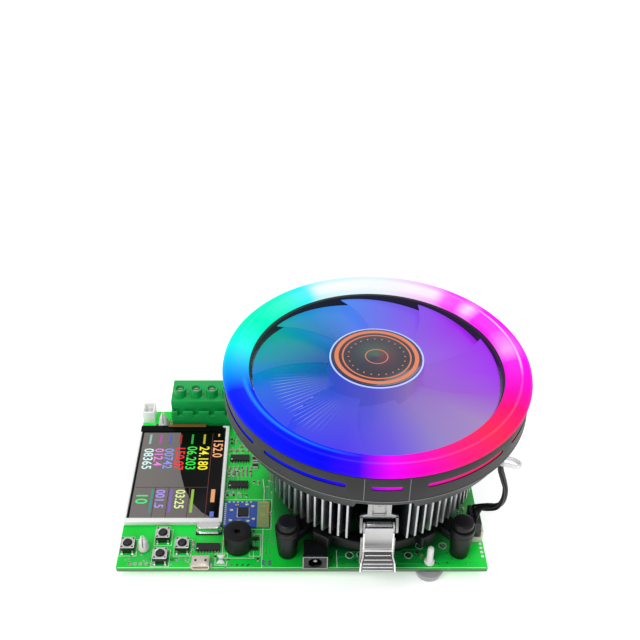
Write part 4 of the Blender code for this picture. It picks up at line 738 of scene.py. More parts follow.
def make_board():
    laminate_faces = NODES["main_board"].data.materials
    laminate_faces.clear()
    laminate_faces.append(LAMINATE)
    runs = trace_runs()

    def tracks(bm):
        for run in runs:
            strip(bm, run, TRACE, 0.0, TRACK_TOP)

    def vias(bm):
        for run in runs:
            for x, y in (run[0], run[-1]):
                ring_pad(bm, x, y, 0.42, 0.18)

    def solder_side(bm):
        """Trimmed leads in their solder, under everything that is pinned through the board."""
        for node, pins in PINNED.items():
            here = middle(node)
            for x, y in pins:
                lathe(bm, SOLDER_CONE, (here.x + x, here.y + y, UNDER), 12)

    make("board_tracks", tracks, [TRACK_MASK])
    make("board_legend", legend, [SILK])
    make("board_pads", bare_pads, [TIN])
    make("board_vias", vias, [TIN])
    make("solder_side", solder_side, [TIN])


# Small chip parts, soldered flat: their size is (length, width, height)

SIZES = {"capacitor": (1.6, 0.8, 0.8), "resistor": (1.6, 0.8, 0.45), "large": (3.2, 2.5, 1.2)}
CHIP_PARTS = [  # (kind, x, y, degrees)
    ("resistor", -32.8, 76.2, 0), ("resistor", -32.8, 73.6, 0), ("capacitor", -30.6, 75.0, 90),
    ("capacitor", -27.8, 71.4, 0), ("resistor", -25.0, 71.2, 0), ("large", -21.4, 62.6, 90),
    ("large", -21.2, 58.3, 90), ("capacitor", -19.4, 48.0, 90), ("resistor", -21.4, 48.6, 90),
    ("capacitor", -38.9, 43.9, 90), ("resistor", -33.0, 40.6, 0), ("resistor", -30.2, 40.6, 0),
    ("capacitor", -27.0, 40.4, 90), ("resistor", -24.6, 40.4, 90), ("capacitor", -45.9, 10.8, 90),
    ("capacitor", -45.9, 13.6, 90), ("resistor", -36.2, 6.2, 90), ("capacitor", -33.2, 14.2, 90),
    ("resistor", -20.6, 20.0, 0), ("resistor", -18.4, 5.0, 90), ("resistor", 48.6, 8.4, 45),
    ("capacitor", 50.2, 6.7, 45), ("resistor", -69.8, 84.6, 0), ("resistor", -69.8, 86.4, 0),
    ("capacitor", -64.0, 88.4, 90), ("resistor", 69.0, 30.0, 90), ("resistor", 69.0, 34.0, 90),
    ("capacitor", 71.4, 32.0, 90), ("resistor", 66.0, 88.6, 0), ("capacitor", 69.4, 88.6, 0),
]


def chip_part(bm, kind):
    """A fired body with a tinned cap and a little solder at each end."""
    length, width, height = SIZES[kind]
    cap = length * 0.18
    painted(bm, 0 if kind == "capacitor" else 1, slab, 0, 0, length / 2 - cap, width / 2, 0.05, height)
    for side in (-1, 1):
        painted(bm, 2, slab, side * (length - cap) / 2, 0, cap / 2, width / 2 + 0.02, 0.02, height + 0.02)
        painted(bm, 2, slab, side * (length / 2 + 0.15), 0, 0.15, width / 2 + 0.1, 0, 0.14)


def chip_rows():
    """Rows of small parts between and beside the two driver chips, where the board is densest."""
    draw = random.Random(7)
    rows = []
    for y in (52.9, 55.0, 57.1):
        for i in range(6):
            kind = draw.choice(("capacitor", "resistor"))
            rows.append((kind, -33.0 + 1.95 * i, y + draw.uniform(-0.2, 0.2), 90))
    for i in range(4):
        rows.append((draw.choice(("capacitor", "resistor")), -32.6 + 2.7 * i, 68.6, 0))
    return rows


def make_chip_parts():
    def chip_parts(bm):
        for kind, x, y, degrees in CHIP_PARTS + chip_rows():
            moved(bm, turned_at((x, y, 0), degrees), chip_part, kind)

    def small_transistors(bm):
        for x, y in ((-19.6, 15.6), (-19.6, 10.2)):
            painted(bm, 0, slab, x, y, 1.45, 0.7, 0.15, 1.1)
            for pin, side in ((-0.95, -1), (0.95, -1), (0, 1)):
                painted(bm, 1, slab, x + pin, y + side * 0.95, 0.2, 0.35, 0.02, 0.4)

    def wedges(bm):
        for y, lean in ((3.6, 1), (6.2, -1)):
            outline = [(-35.6, y - lean), (-31.9, y - lean), (-33.0, y + lean), (-34.5, y + lean)]
            prism(bm, outline, 0, 0.5)

    make("chip_parts", chip_parts, [CERAMIC, EPOXY, TIN], bevel=0.05, segments=1)
    make("small_transistors", small_transistors, [EPOXY, TIN], bevel=0.08, segments=1)
    make("solder_wedges", wedges, [PBT_WHITE], bevel=0.2)


# Driver chips: moulded bodies with gull-wing leads

CHIP_BODY = 3.9
CHIP_PITCH = 1.27
CHIP_TOP = 1.5
CHIP_HALVES = (((0.15, 0.12), (0.75, 0.0)), ((0.75, 0.0), (CHIP_TOP, 0.14)))  # (height, inset) below and above


def make_chips():
    for node in ("serial_chip", "driver_chip", "converter_chip"):
        x, y, half_w = stand(node)[:3]
        half_d = CHIP_BODY / 2
        pins = round((2 * half_w - 0.4) / CHIP_PITCH)

        def chip(bm):
            for half in CHIP_HALVES:
                rings = []
                for z, inset in half:
                    w, d = half_w - inset, half_d - inset
                    rings.append([(a, b, z) for a, b in rectangle(x - w, x + w, y - d, y + d)])
                skin(bm, rings)
            for i in range(pins):
                for side in (-1, 1):
                    leg = ((-0.1, 0.85), (0.35, 0.85), (0.55, 0.1), (1.05, 0.1))
                    stations = [(y + side * (half_d + out), z, 0.21) for out, z in leg]
                    painted(bm, 1, ribbon, stations, 0.16, x + (i - (pins - 1) / 2) * CHIP_PITCH)
            dot = [(0, CHIP_TOP), (0.35, CHIP_TOP), (0.35, CHIP_TOP + 0.005), (0, CHIP_TOP + 0.005)]
            painted(bm, 2, lathe, dot, (x - half_w + 0.8, y - half_d + 0.8, 0), 12)

        make(f"{node}_body", chip, [EPOXY, TIN, SILK], stands_for=(node,), bevel=0.06, segments=1)


# Colour display: a lit panel in a white frame, with its flex at the back

DIGITS = (  # (numbers, along the display from its back, across from its left, size, colour)
    ("152.0", 4.4, 33.7, 6.2, "#FFB27A"),
    ("24.180", 9.2, 27.4, 6.4, "#FFF61E"),
    ("06.203", 9.2, 21.7, 6.4, "#19F03C"),
    ("150.07", 9.2, 16.2, 6.4, "#FF1A18"),
    ("00742", 10.6, 11.2, 6.0, "#8E96F8"),
    ("012.4", 10.6, 6.6, 5.8, "#F484EE"),
    ("08365", 10.6, 1.6, 6.2, "#D8FFFB"),
    ("03:25", 36.6, 19.0, 5.8, "#EAFFA0"),
    ("001.5", 36.6, 10.2, 5.6, "#B49AFA"),
    ("10", 38.6, 1.6, 7.4, "#3DF27A"),
)
BARS = (  # (along from, along to, across from, across to, colour)
    (0.8, 2.6, 35.4, 36.3, "#FFB27A"),
    (1.2, 7.6, 28.6, 29.6, "#C9C01A"),
    (1.2, 7.6, 22.9, 23.9, "#1FB838"),
    (1.2, 7.6, 17.4, 18.4, "#B81E1C"),
    (1.2, 7.6, 12.6, 13.6, "#5560D8"),
    (1.2, 7.6, 7.9, 8.9, "#C850C0"),
    (1.2, 7.6, 3.0, 4.0, "#9FD8D4"),
    (36.4, 50.0, 25.8, 27.0, "#9FD43C"),
    (36.4, 50.0, 16.4, 17.4, "#8A6CD8"),
    (36.4, 50.0, 8.0, 8.8, "#27A8A0"),
    (36.4, 44.0, 34.6, 36.4, "#FFB27A"),
    (49.4, 52.4, 34.8, 36.6, "#6A78E8"),
)
RULES = (
    ((0.4, 32.9), (53.6, 32.9)),
    ((35.2, 0.4), (35.2, 32.9)),
    ((35.2, 24.9), (53.6, 24.9)),
    ((35.2, 15.6), (53.6, 15.6)),
    ((35.2, 9.6), (53.6, 9.6)),
)
SHEEN_EDGE = ((17.5, 0), (18.0, 9), (18.6, 18), (20.0, 27), (22.6, 36), (26.4, 44), (31.5, 50))
BAND = 3.6  # black edge of the panel at the back
LAYER = 0.02


def number(bm, text, size):
    """Plain numbers in Blender's own face."""
    curve = bpy.data.curves.new("numbers", "FONT")
    curve.body = text
    curve.size = size
    curve.offset = 0.07
    curve.extrude = LAYER / 2
    curve.resolution_u = 4
    curve.space_character = 1.02
    holder = bpy.data.objects.new("numbers", curve)
    bpy.context.scene.collection.objects.link(holder)
    bpy.context.view_layer.update()
    mesh = bpy.data.meshes.new_from_object(holder.evaluated_get(bpy.context.evaluated_depsgraph_get()))
    bpy.data.objects.remove(holder)
    bm.from_mesh(mesh)
    bpy.data.meshes.remove(mesh)


def make_display():
    refined("display_bezel", PBT_WHITE, bevel=0.18)
    refined("display_panel", GLASS, bevel=0.1)
    refined("display_flex", FILM, bevel=0.03, segments=1)
    low, high = span("display_panel")
    top = high.z + LAYER

    def on_panel(along, across):
        """A point of the picture, from the display's back to its front and from left to right."""
        return low.x + 0.9 + across, high.y - BAND - along

    def numbers(bm):
        for i, (text, along, across, size, _) in enumerate(DIGITS):
            place = turned_at((*on_panel(along, across), top), -90) @ Matrix.Diagonal((0.86, 1, 1, 1))
            painted(bm, i, moved, place, number, text, size)

    def bars(bm):
        for i, (start, end, left, right, _) in enumerate(BARS):
            x0, y1 = on_panel(start, left)
            x1, y0 = on_panel(end, right)
            painted(bm, i, block, x0, x1, y0, y1, top - LAYER / 2, top + LAYER / 2)

    def rules(bm):
        for a, b in RULES:
            strip(bm, [on_panel(*a), on_panel(*b)], 0.3, top - LAYER / 2, top + LAYER / 2)

    # The sheen is a painted reflection: a grey wash of light lying on the glass at the left of the picture.
    def sheen(bm):
        x0, y0 = on_panel(54.2, 0.0)
        x1, y1 = on_panel(0.0, 40.2)
        edge = [(x0 + across, y1 - down) for across, down in SHEEN_EDGE] + [(x1 - 2.5, y0)]
        prism(bm, [(x0, y0), (x0, y1)] + edge, top - 0.9 * LAYER, top - 0.6 * LAYER)

    def back_band(bm):
        left, right = span("display_bezel")
        front, back = right.y - BAND - 0.6, right.y - 0.1
        block(bm, left.x + 0.3, right.x - 3.2, front, back, right.z, right.z + 0.08)

    inks = [plain_light(f"lit colour {i + 1}", entry[-1]) for i, entry in enumerate(DIGITS)]
    make("display_numbers", numbers, inks, angle=20)
    bar_inks = [plain_light(f"lit bar {i + 1}", entry[-1], 0.8) for i, entry in enumerate(BARS)]
    make("display_bars", bars, bar_inks)
    make("display_rules", rules, [plain_light("lit rule", "#6A2028", 0.8)])
    make("display_sheen", sheen, [SHEEN])
    make("display_band", back_band, [GLASS])


# Buttons: a steel plate riveted over a black case, with bent legs

RIVET = 2.25
BUTTON_LEG = ((-0.2, 1.6), (0.15, 1.5), (0.3, 0.4), (0.85, 0.12))  # (out from the case, height)


def make_buttons():
    for name in BUTTONS:
        x, y, half, _, top = stand(f"button_case_{name}")
        key_r, foot, key_top = stand(f"button_key_{name}")[2:]
        hole = [(0, 0.8), (key_r + 0.25, 0.8), (key_r + 0.25, top + 1), (0, top + 1)]
        mouth = [(0, top - 1), (1.95, top - 1), (1.95, top + 1), (0, top + 1)]
        dome = [(0, top), (0.42, top), (0.36, top + 0.12), (0.2, top + 0.18), (0, top + 0.2)]
        key = [(0, foot), (key_r, foot), (key_r, foot + 0.8), (1.65, foot + 0.8)]
        key += [(1.65, key_top - 0.25), (1.4, key_top), (0, key_top)]

        def square(bm, side, ease, low, high):
            prism(bm, eased(rectangle(x - side, x + side, y - side, y + side), ease), low, high)

        def fittings(bm):
            for dx in (-RIVET, RIVET):
                for dy in (-RIVET, RIVET):
                    painted(bm, 0, lathe, dome, (x + dx, y + dy, 0), 12)
                for side in (-1, 1):
                    stations = [(y + side * (half + out), z, 0.35) for out, z in BUTTON_LEG]
                    painted(bm, 1, ribbon, stations, 0.2, x + dx)

        make(f"button_body_{name}", lambda bm: square(bm, half, 0.5, 0.0, top - 0.25), [ABS_BLACK], bevel=0.1,
             cuts=[lambda bm: lathe(bm, hole, (x, y, 0), 32)], stands_for=(f"button_case_{name}",))
        make(f"button_plate_{name}", lambda bm: square(bm, half - 0.05, 0.45, top - 0.45, top), [BUTTON_PLATE],
             bevel=0.08, cuts=[lambda bm: lathe(bm, mouth, (x, y, 0), 32)])
        make(f"button_fittings_{name}", fittings, [ABS_BLACK, TIN])
        make_turned(f"button_cap_{name}", key, (x, y, 0), 40, [ABS_BLACK], f"key_{name}", bevel=0.06,
                    stands_for=(f"button_key_{name}",))


# Buzzer, radio module, sockets and crystal

MODULE_PARTS = (  # (x, y, whether it is pale) from the module's front left corner
    (3.0, 3.4, True), (5.4, 12.2, False), (9.8, 12.4, True), (12.4, 11.4, True),
    (12.9, 4.2, True), (3.2, 9.2, True), (6.6, 3.2, False), (10.6, 3.0, True),
)


def make_buzzer():
    x, y, radius, foot, top = stand("buzzer")
    profile = [(0, foot), (radius, foot), (radius, top), (1.25, top), (1.25, top - 2.2), (0, top - 2.2)]
    profile = eased(profile, 0.3, closed=False)
    make_turned("buzzer_case", profile, (x, y, 0), 64, [BUZZER_BLACK], stands_for=("buzzer",))


def make_module():
    low, high = span("radio_module")
    top = low.z + 0.8
    blue_end = low.x + 14.4

    def cards(bm):
        painted(bm, 0, block, low.x, blue_end, low.y, high.y, low.z, top)
        painted(bm, 1, block, blue_end, high.x, low.y, high.y, low.z, top)

    def fittings(bm):
        chip = Vector((low.x + 8.3, low.y + 8.0, 0))
        half = 2.3
        painted(bm, 0, slab, chip.x, chip.y, half, half, top, top + 0.9)
        for k in range(4):
            row = (-half - 0.5, half + 0.5, half + 0.15, half + 0.42, top, top + 0.03)
            painted(bm, 1, moved, turned_at(chip, 90 * k), block, *row)
        for i in range(11):
            painted(bm, 2, slab, low.x + 0.46, low.y + 1.6 + 1.15 * i, 0.44, 0.32, top, top + 0.04)
        for i in range(6):
            painted(bm, 2, slab, low.x + 2.0 + 1.9 * i, high.y - 0.46, 0.45, 0.44, top, top + 0.04)
        aerial_edge = [(blue_end + 0.6, low.y + 0.5), (high.x - 0.5, low.y + 0.5)]
        aerial_edge += [(high.x - 0.5, high.y - 0.5), (blue_end + 0.4, high.y - 0.5)]
        painted(bm, 3, strip, aerial_edge, 0.42, top, top + 0.04)
        meander = []
        for i in range(5):
            ends = (blue_end + 1.5, high.x - 1.5)[:: 1 if i % 2 else -1]
            meander += [(end, low.y + 2.2 + 2.4 * i) for end in ends]
        painted(bm, 3, strip, meander, 0.42, top, top + 0.04)
        for x, y, pale in MODULE_PARTS:
            painted(bm, 1 if pale else 4, slab, low.x + x, low.y + y, 0.8, 0.4, top, top + 0.5)
            for side in (-1, 1):
                painted(bm, 2, slab, low.x + x + side * 0.675, low.y + y, 0.125, 0.42, top, top + 0.52)

    make("module_card", cards, [MODULE_BLUE, BARE_BOARD], stands_for=("radio_module",), bevel=0.05, segments=1)
    make("module_fittings", fittings, [EPOXY, PBT_IVORY, TIN, GOLD, CERAMIC], bevel=0.03, segments=1)


def make_crystal():
    low, high = span("quartz_crystal")
    x, y = middle("quartz_crystal").xy

    def can(bm):
        for trim, z0, z1 in ((0.1, 0.62, 1.1), (1.0, 1.0, high.z)):
            radius = (high.y - low.y - trim) / 2
            reach = (high.x - low.x - trim) / 2 - radius
            outline = arc((x + reach, y), radius, -90, 90, 16) + arc((x - reach, y), radius, 90, 270, 16)
            prism(bm, outline, z0, z1)

    make("crystal_base", lambda bm: block(bm, low.x, high.x, low.y, high.y, 0, 0.7), [ABS_BLACK], bevel=0.1)
    make("crystal_can", can, [CRYSTAL_CAN], stands_for=("quartz_crystal",), bevel=0.35, segments=3)


def make_sockets():
    refined("micro_usb_socket", USB_TIN, bevel=0.1)
    low, high = span("micro_usb_socket")
    x = (low.x + high.x) / 2

    def latches(bm):
        for side in (-1, 1):
            painted(bm, 0, slab, x + side * 2.1, low.y + 3.15, 0.45, 0.55, high.z - 0.02, high.z + 0.015)
            painted(bm, 1, slab, x + side * 4.15, low.y + 2.4, 0.45, 1.0, 0, 0.3)

    make("usb_latches", latches, [EPOXY, TIN], bevel=0.02, segments=1)
    refined("dc_jack", ABS_BLACK)
    refined("sensor_socket", PBT_WHITE)
    refined("fan_header", PBT_IVORY, bevel=0.12)
    refined("fan_plug", ABS_BLACK, bevel=0.2)
    refined("power_transistor", EPOXY)


def make_jack_trim():
    """The jack's steel mouth frame and centre pin."""
    low, high = span("dc_jack")
    outer = rectangle(low.x + 0.05, high.x - 0.05, low.z + 0.1, high.z - 0.05)
    inner = rectangle(low.x + 0.45, high.x - 0.45, low.z + 0.5, high.z - 0.45)
    face = low.y - 0.04

    def rim(bm):
        corners = ((outer, face), (inner, face), (inner, face + 0.5), (outer, face + 0.5))
        skin(bm, [[(a, y, b) for a, b in outline] for outline, y in corners], looped=True)

    make("jack_rim", rim, [NICKEL])
    pin = [(0, 1.0), (0.75, 1.0), (1.0, 1.5), (1.0, 7.8), (0, 7.8)]
    place = turned_at(((low.x + high.x) / 2, low.y, (low.z + high.z) / 2), -90, "X")
    make("jack_pin", lambda bm: moved(bm, place, lathe, pin, (0, 0, 0), 24), [TIN])


# Terminal block, feet and push pins


def make_terminal():
    refined("terminal_header", POLYAMIDE, bevel=0.2)
    refined("terminal_plug", POLYAMIDE, "terminal_block", bevel=0.2)
    plug_top = span("terminal_plug")[1].z
    for i in range(1, 5):
        x, y, radius, foot, top = stand(f"terminal_screw_{i}")
        collar = eased(rectangle(radius + 0.3, 2.86, plug_top - 4.3, plug_top + 0.02), 0.3)
        head = [(0, foot), (1.3, foot), (1.3, top - 1.6), (radius, top - 1.6), (radius, top - 0.3)]
        head += [(radius - 0.35, top), (0, top)]
        make_turned(f"terminal_collar_{i}", collar, (x, y, 0), 48, [POLYAMIDE], "terminal_block", closed=True)
        make_turned(f"screw_head_{i}", head, (x, y, 0), 40, [ZINC], f"screw_{i}",
                    cuts=[lambda bm: slab(bm, x, y, 3, 0.3, top - 0.8, top + 1)],
                    stands_for=(f"terminal_screw_{i}",))
        refined(f"terminal_clamp_{i}", BRASS, f"clamp_{i}", bevel=0.12)


FOOT_TIPS = {  # the nylon stem's end above the board: (radius, height), from the board up
    "left": [(2.5, 0.35), (2.4, 1.4), (1.75, 5.2), (0.95, 7.2)],
    "right": [(2.2, 0.35), (2.2, 1.3), (1.4, 2.0), (1.35, 8.8)],
}
POST_FOOT = UNDER - 0.3


def make_feet():
    for place in ("front_left", "back_left", "front_right", "back_right"):
        x, y, radius, foot, top = stand(f"foot_{place}")
        split = place.endswith("left")
        if split:
            top -= 1.6
        tip = FOOT_TIPS["left" if split else "right"]
        profile = [(0, foot), (5.1, foot), (radius, POST_FOOT), (1.7, POST_FOOT), (1.7, 0.3)]
        profile += tip + [(tip[-1][0] * 0.6, top - 0.1), (0, top)]
        slit = [lambda bm: block(bm, x - 0.25, x + 0.25, y - 4, y + 4, 2.6, top + 1)] if split else []
        make_turned(f"foot_{place}_stem", eased(profile, 0.5, closed=False), (x, y, 0), 48, [NYLON_CLEAR],
                    cuts=slit, stands_for=(f"foot_{place}",))


POSTS = ("front_left", "front_right", "back_right", "back_left")


def make_push_pins():
    for name in POSTS:
        x, y, radius, foot, top = stand(f"pin_knob_{name}")
        cap = [(0, top - 1.2), (1.35, top - 1.2), (1.35, foot), (radius, foot), (radius, top - 1.5)]
        cap += [(radius - 0.15, top - 0.8), (radius - 0.9, top - 0.25), (radius - 2.3, top - 0.02), (0, top)]
        make_turned(f"pin_cap_{name}", eased(cap, 0.35, closed=False), (x, y, 0), 64, [NYLON_BLACK],
                    f"knob_{name}", stands_for=(f"pin_knob_{name}",))
        foot, top = stand(f"pin_shank_{name}")[3:]
        stem = [(0, foot), (0.6, foot), (1.0, foot + 0.8), (1.0, top), (0, top)]
        make_turned(f"pin_stem_{name}", stem, (x, y, 0), 32, [NYLON_BLACK], f"shank_{name}",
                    stands_for=(f"pin_shank_{name}",))


# Cooler bracket: a moulded ring with arms out to four tapered posts

BRACKET_RING = 40.0
BRACKET_INNER = 34.0
POST_PROFILE = [  # (radius, height) outside a post, from the board's underside up
    (1.35, POST_FOOT - 1.9), (1.6, POST_FOOT - 1.9), (2.5, POST_FOOT - 0.5), (2.0, POST_FOOT),
    (2.0, 0.3), (3.9, 0.3),
    (4.0, 1.2), (5.0, 13.4), (4.75, 14.0), (5.1, 14.5), (5.1, 16.2), (4.8, 16.6), (1.35, 16.6),
]


def turned_block(bm, degrees, reach, half, heights, ease=0.8):
    """A block that points away from the cooler's middle, with eased corners in plan."""
    outline = eased(rectangle(*reach, -half, half), ease)
    moved(bm, turned_at(HUB_FOOT, degrees), prism, outline, *heights)


def make_bracket():
    root = BRACKET_RING - 1.0

    def arms(bm):
        for degrees in (45, 135, 225, 315):
            turned_block(bm, degrees, (root, 50.9), 4.0, (8.5, 13.0))

    def lugs(bm):
        for side in (90, 270):
            for lean in (-31, 31):
                turned_block(bm, side + lean, (root, BRACKET_RING + 4.0), 3.8, (7.2, 13.0))
            turned_block(bm, side, (root, BRACKET_RING + 4.2), 4.0, (8.0, 11.0))

    ring = eased(rectangle(BRACKET_INNER, BRACKET_RING, 5.5, 10.5), 0.6)
    make_turned("bracket_ring", ring, HUB_FOOT, 120, [NYLON_BLACK], closed=True, stands_for=("cooler_bracket",))
    make("bracket_arms", arms, [NYLON_BLACK], bevel=0.45, segments=3)
    make("bracket_lugs", lugs, [NYLON_BLACK], bevel=0.45, segments=3)
    post = eased(POST_PROFILE, 0.25)
    for name in POSTS:
        x, y = middle(f"pin_shank_{name}").xy
        make_turned(f"bracket_post_{name}", post, (x, y, 0), 64, [NYLON_BLACK], closed=True)


# Fan: a grey shroud with slots, a lit ring on it, and the rotor over its motor

FAN_STEPS = 160
SHROUD_WALL = 1.5
DUCT_R = SHROUD_R - 10.8
SHROUD_STEP = 59.4
SHROUD_BOTTOM = 51.2
DUCT_BOTTOM = 54.0
WEB = 61.6
SLOT_LOW, SLOT_HIGH = 65.0, 67.0
SLOT_SPANS = ((-5.4, 5.4), (13.8, 46.3), (52.0, 84.5))  # degrees from the front
SEAM_ANGLE = 7.65
SPOKE_ANGLE = -24.0


def round_the_hub(degrees, radius, z):
    turn = math.radians(degrees)
    return (HUB.x + radius * math.cos(turn), HUB.y + radius * math.sin(turn), z)


def curved_slot(bm, start, end, inner=SHROUD_R - 3.2, outer=SHROUD_R + 1, half=(SLOT_HIGH - SLOT_LOW) / 2):
    """A bar with round ends that follows the shroud's curve: a slot's cutter, or the light guide in it."""
    mid = (SLOT_HIGH + SLOT_LOW) / 2
    round_end = math.degrees(half / SHROUD_R)
    nose = []
    for k in range(7):
        turn = math.pi / 2 * k / 6
        nose.append((round_end * (1 - math.cos(turn)), max(half * math.sin(turn), 0.05)))
    stations = [(start + along, rise) for along, rise in nose]
    steps = max(2, round((end - start) / 2.5))
    for k in range(1, steps):
        stations.append((start + round_end + (end - start - 2 * round_end) * k / steps, half))
    stations += [(end - along, rise) for along, rise in nose[::-1]]
    rings = []
    for degrees, rise in stations:
        corners = ((inner, -rise), (outer, -rise), (outer, rise), (inner, rise))
        rings.append([round_the_hub(degrees, r, mid + z) for r, z in corners])
    skin(bm, rings)


def slot_ends():
    """Where each slot starts and ends, in degrees, all round the shroud."""
    ends = []
    for side in (270, 90):
        for start, end in SLOT_SPANS:
            ends.append((side + start, side + end))
            if start > 0:
                ends.append((side - end, side - start))
    return ends


def make_fan_frame():
    top = SHROUD_TOP
    inner = SHROUD_R - SHROUD_WALL
    lip = SHROUD_R - 4.0
    wall = DUCT_R + SHROUD_WALL
    shell = [(SHROUD_R, top), (SHROUD_R, SHROUD_STEP), (lip, SHROUD_BOTTOM), (lip - SHROUD_WALL, SHROUD_BOTTOM)]
    shell += [(inner, SHROUD_STEP + 0.3), (inner, WEB), (wall, WEB), (wall, DUCT_BOTTOM), (DUCT_R, DUCT_BOTTOM)]
    shell += [(DUCT_R, top), (wall, top), (wall, WEB + 1.2), (inner, WEB + 1.2), (inner, top)]

    def slots(bm):
        for start, end in slot_ends():
            curved_slot(bm, start, end)

    def arch(bm):
        corners = [(-11.5, SHROUD_BOTTOM - 1), (11.5, SHROUD_BOTTOM - 1), (10.6, 56.0), (-10.6, 56.0)]
        outline = eased([(HUB.x + x, z) for x, z in corners], 1.2)
        prism(bm, outline, HUB.y - SHROUD_R - 1, HUB.y - wall - 1, "Y")

    def spokes(bm):
        low, high = MOTOR_LOW + 0.4, MOTOR_LOW + 2.4
        rise = [(18.0, low), (wall - 0.4, low), (wall - 0.4, DUCT_BOTTOM + 1), (DUCT_R + 0.3, DUCT_BOTTOM + 1)]
        rise += [(DUCT_R + 0.3, high), (18.0, high)]
        for k in range(4):
            moved(bm, turned_at(HUB_FOOT, SPOKE_ANGLE + 90 * k), prism, rise, -2.0, 2.0, "Y")

    # Thin pale ribs on the seams and round the step: their pale grey is a painted highlight on the seams'
    # edges.
    def seams(bm):
        for side in (270, 90):
            for lean in (-SEAM_ANGLE, SEAM_ANGLE):
                reach, heights = (SHROUD_R - 0.3, SHROUD_R + 0.1), (SHROUD_STEP, top - 0.3)
                turned_block(bm, side + lean, reach, 0.13, heights, 0.02)
        hoop = rectangle(SHROUD_R - 0.4, SHROUD_R + 0.12, SHROUD_STEP - 0.25, SHROUD_STEP + 0.05)
        lathe(bm, hoop, HUB_FOOT, FAN_STEPS, closed=True)

    make_turned("shroud", eased(shell, 0.35, 2), HUB_FOOT, FAN_STEPS, [ABS_GREY], closed=True,
                cuts=[slots, arch], stands_for=("fan_frame",), angle=30)
    make("fan_spokes", spokes, [ABS_GREY], bevel=0.3)
    low, high, bearing = MOTOR_LOW + 0.3, MOTOR_LOW + 2.6, 70.5
    base = [(1.85, low), (20.0, low), (20.0, high), (3.4, high), (3.4, bearing), (1.85, bearing)]
    make_turned("motor_base", eased(base, 0.3, 2), HUB_FOOT, 96, [ABS_GREY], closed=True)
    make("shroud_seams", seams, [SEAM_HIGHLIGHT])


def make_light_ring():
    r, top = RING_R, RING_TOP
    inner = r - 10.7
    crown = [(r - 0.5, RING_LOW), (r, RING_LOW + 0.8), (r - 0.3, top - 1.6), (r - 1.4, top - 0.5)]
    crown += [(r - 3.2, top), (r - 4.3, top - 0.25), (r - 5.0, top - 0.1), (r - 7.4, top - 0.6)]
    crown += [(inner + 1.0, top - 1.5), (inner, top - 2.4), (inner, RING_LOW)]

    def skirt(bm):
        profile = rectangle(SHROUD_R - 3.0, SHROUD_R - 1.9, SLOT_LOW - 0.6, RING_LOW)
        lathe(bm, profile, HUB_FOOT, FAN_STEPS, closed=True)
        for start, end in slot_ends():
            curved_slot(bm, start + 0.15, end - 0.15, SHROUD_R - 2.2, SHROUD_R - 0.45, 0.88)

    make_turned("lit_crown", eased(crown, 0.7), HUB_FOOT, FAN_STEPS, [RING_LIGHT], closed=True,
                stands_for=("light_ring",))
    make("lit_skirt", skirt, [RING_SKIRT])


BLADES = 9
BLADE_FIRST = 8  # degrees from the right
BLADE_SPAN = 57.0  # degrees, from the leading to the trailing edge
BLADE_SWEEP = 16.0
BLADE_TOP = 69.9
BLADE_DROP = 6.4
BLADE_TIP = DUCT_R - 0.7
BLADE_ROOT = 18.9
CUP_R = 19.5
CUP_BOTTOM = 58.2
CUP_WALL = 1.7
LABEL_R = 18.0
PRINT_STEP = 0.04  # how far the label's ink reaches down into its foil


def blade(bm, turn):
    """One swept blade: a grid from its leading to its trailing edge, thick at the root."""
    across, along = 14, 10
    faces = []
    for way in (1, -1):
        rows = []
        for j in range(along + 1):
            out = j / along
            radius = BLADE_ROOT + (BLADE_TIP - BLADE_ROOT) * out
            row = []
            for i in range(across + 1):
                share = i / across
                degrees = turn + BLADE_SWEEP * out ** 1.3 - share * BLADE_SPAN * (1 - 0.06 * out * out)
                drop = BLADE_DROP * (1 - 0.3 * out) * share ** 1.2
                bulge = math.sin(math.pi * min(max(share, 0.04), 0.96)) ** 0.5
                thick = 0.25 + 0.9 * (1 - 0.5 * out) * bulge
                row.append(bm.verts.new(round_the_hub(degrees, radius, BLADE_TOP - drop + way * thick / 2)))
            rows.append(row)
        faces.append(rows)
    upper, lower = faces
    for rows in faces:
        for a, b in zip(rows, rows[1:]):
            for k in range(across):
                bm.faces.new((a[k], a[k + 1], b[k + 1], b[k]))
    for j in range(along):
        for k in (0, across):
            bm.faces.new((upper[j][k], upper[j + 1][k], lower[j + 1][k], lower[j][k]))
    for k in range(across):
        for j in (0, along):
            bm.faces.new((upper[j][k], upper[j][k + 1], lower[j][k + 1], lower[j][k]))


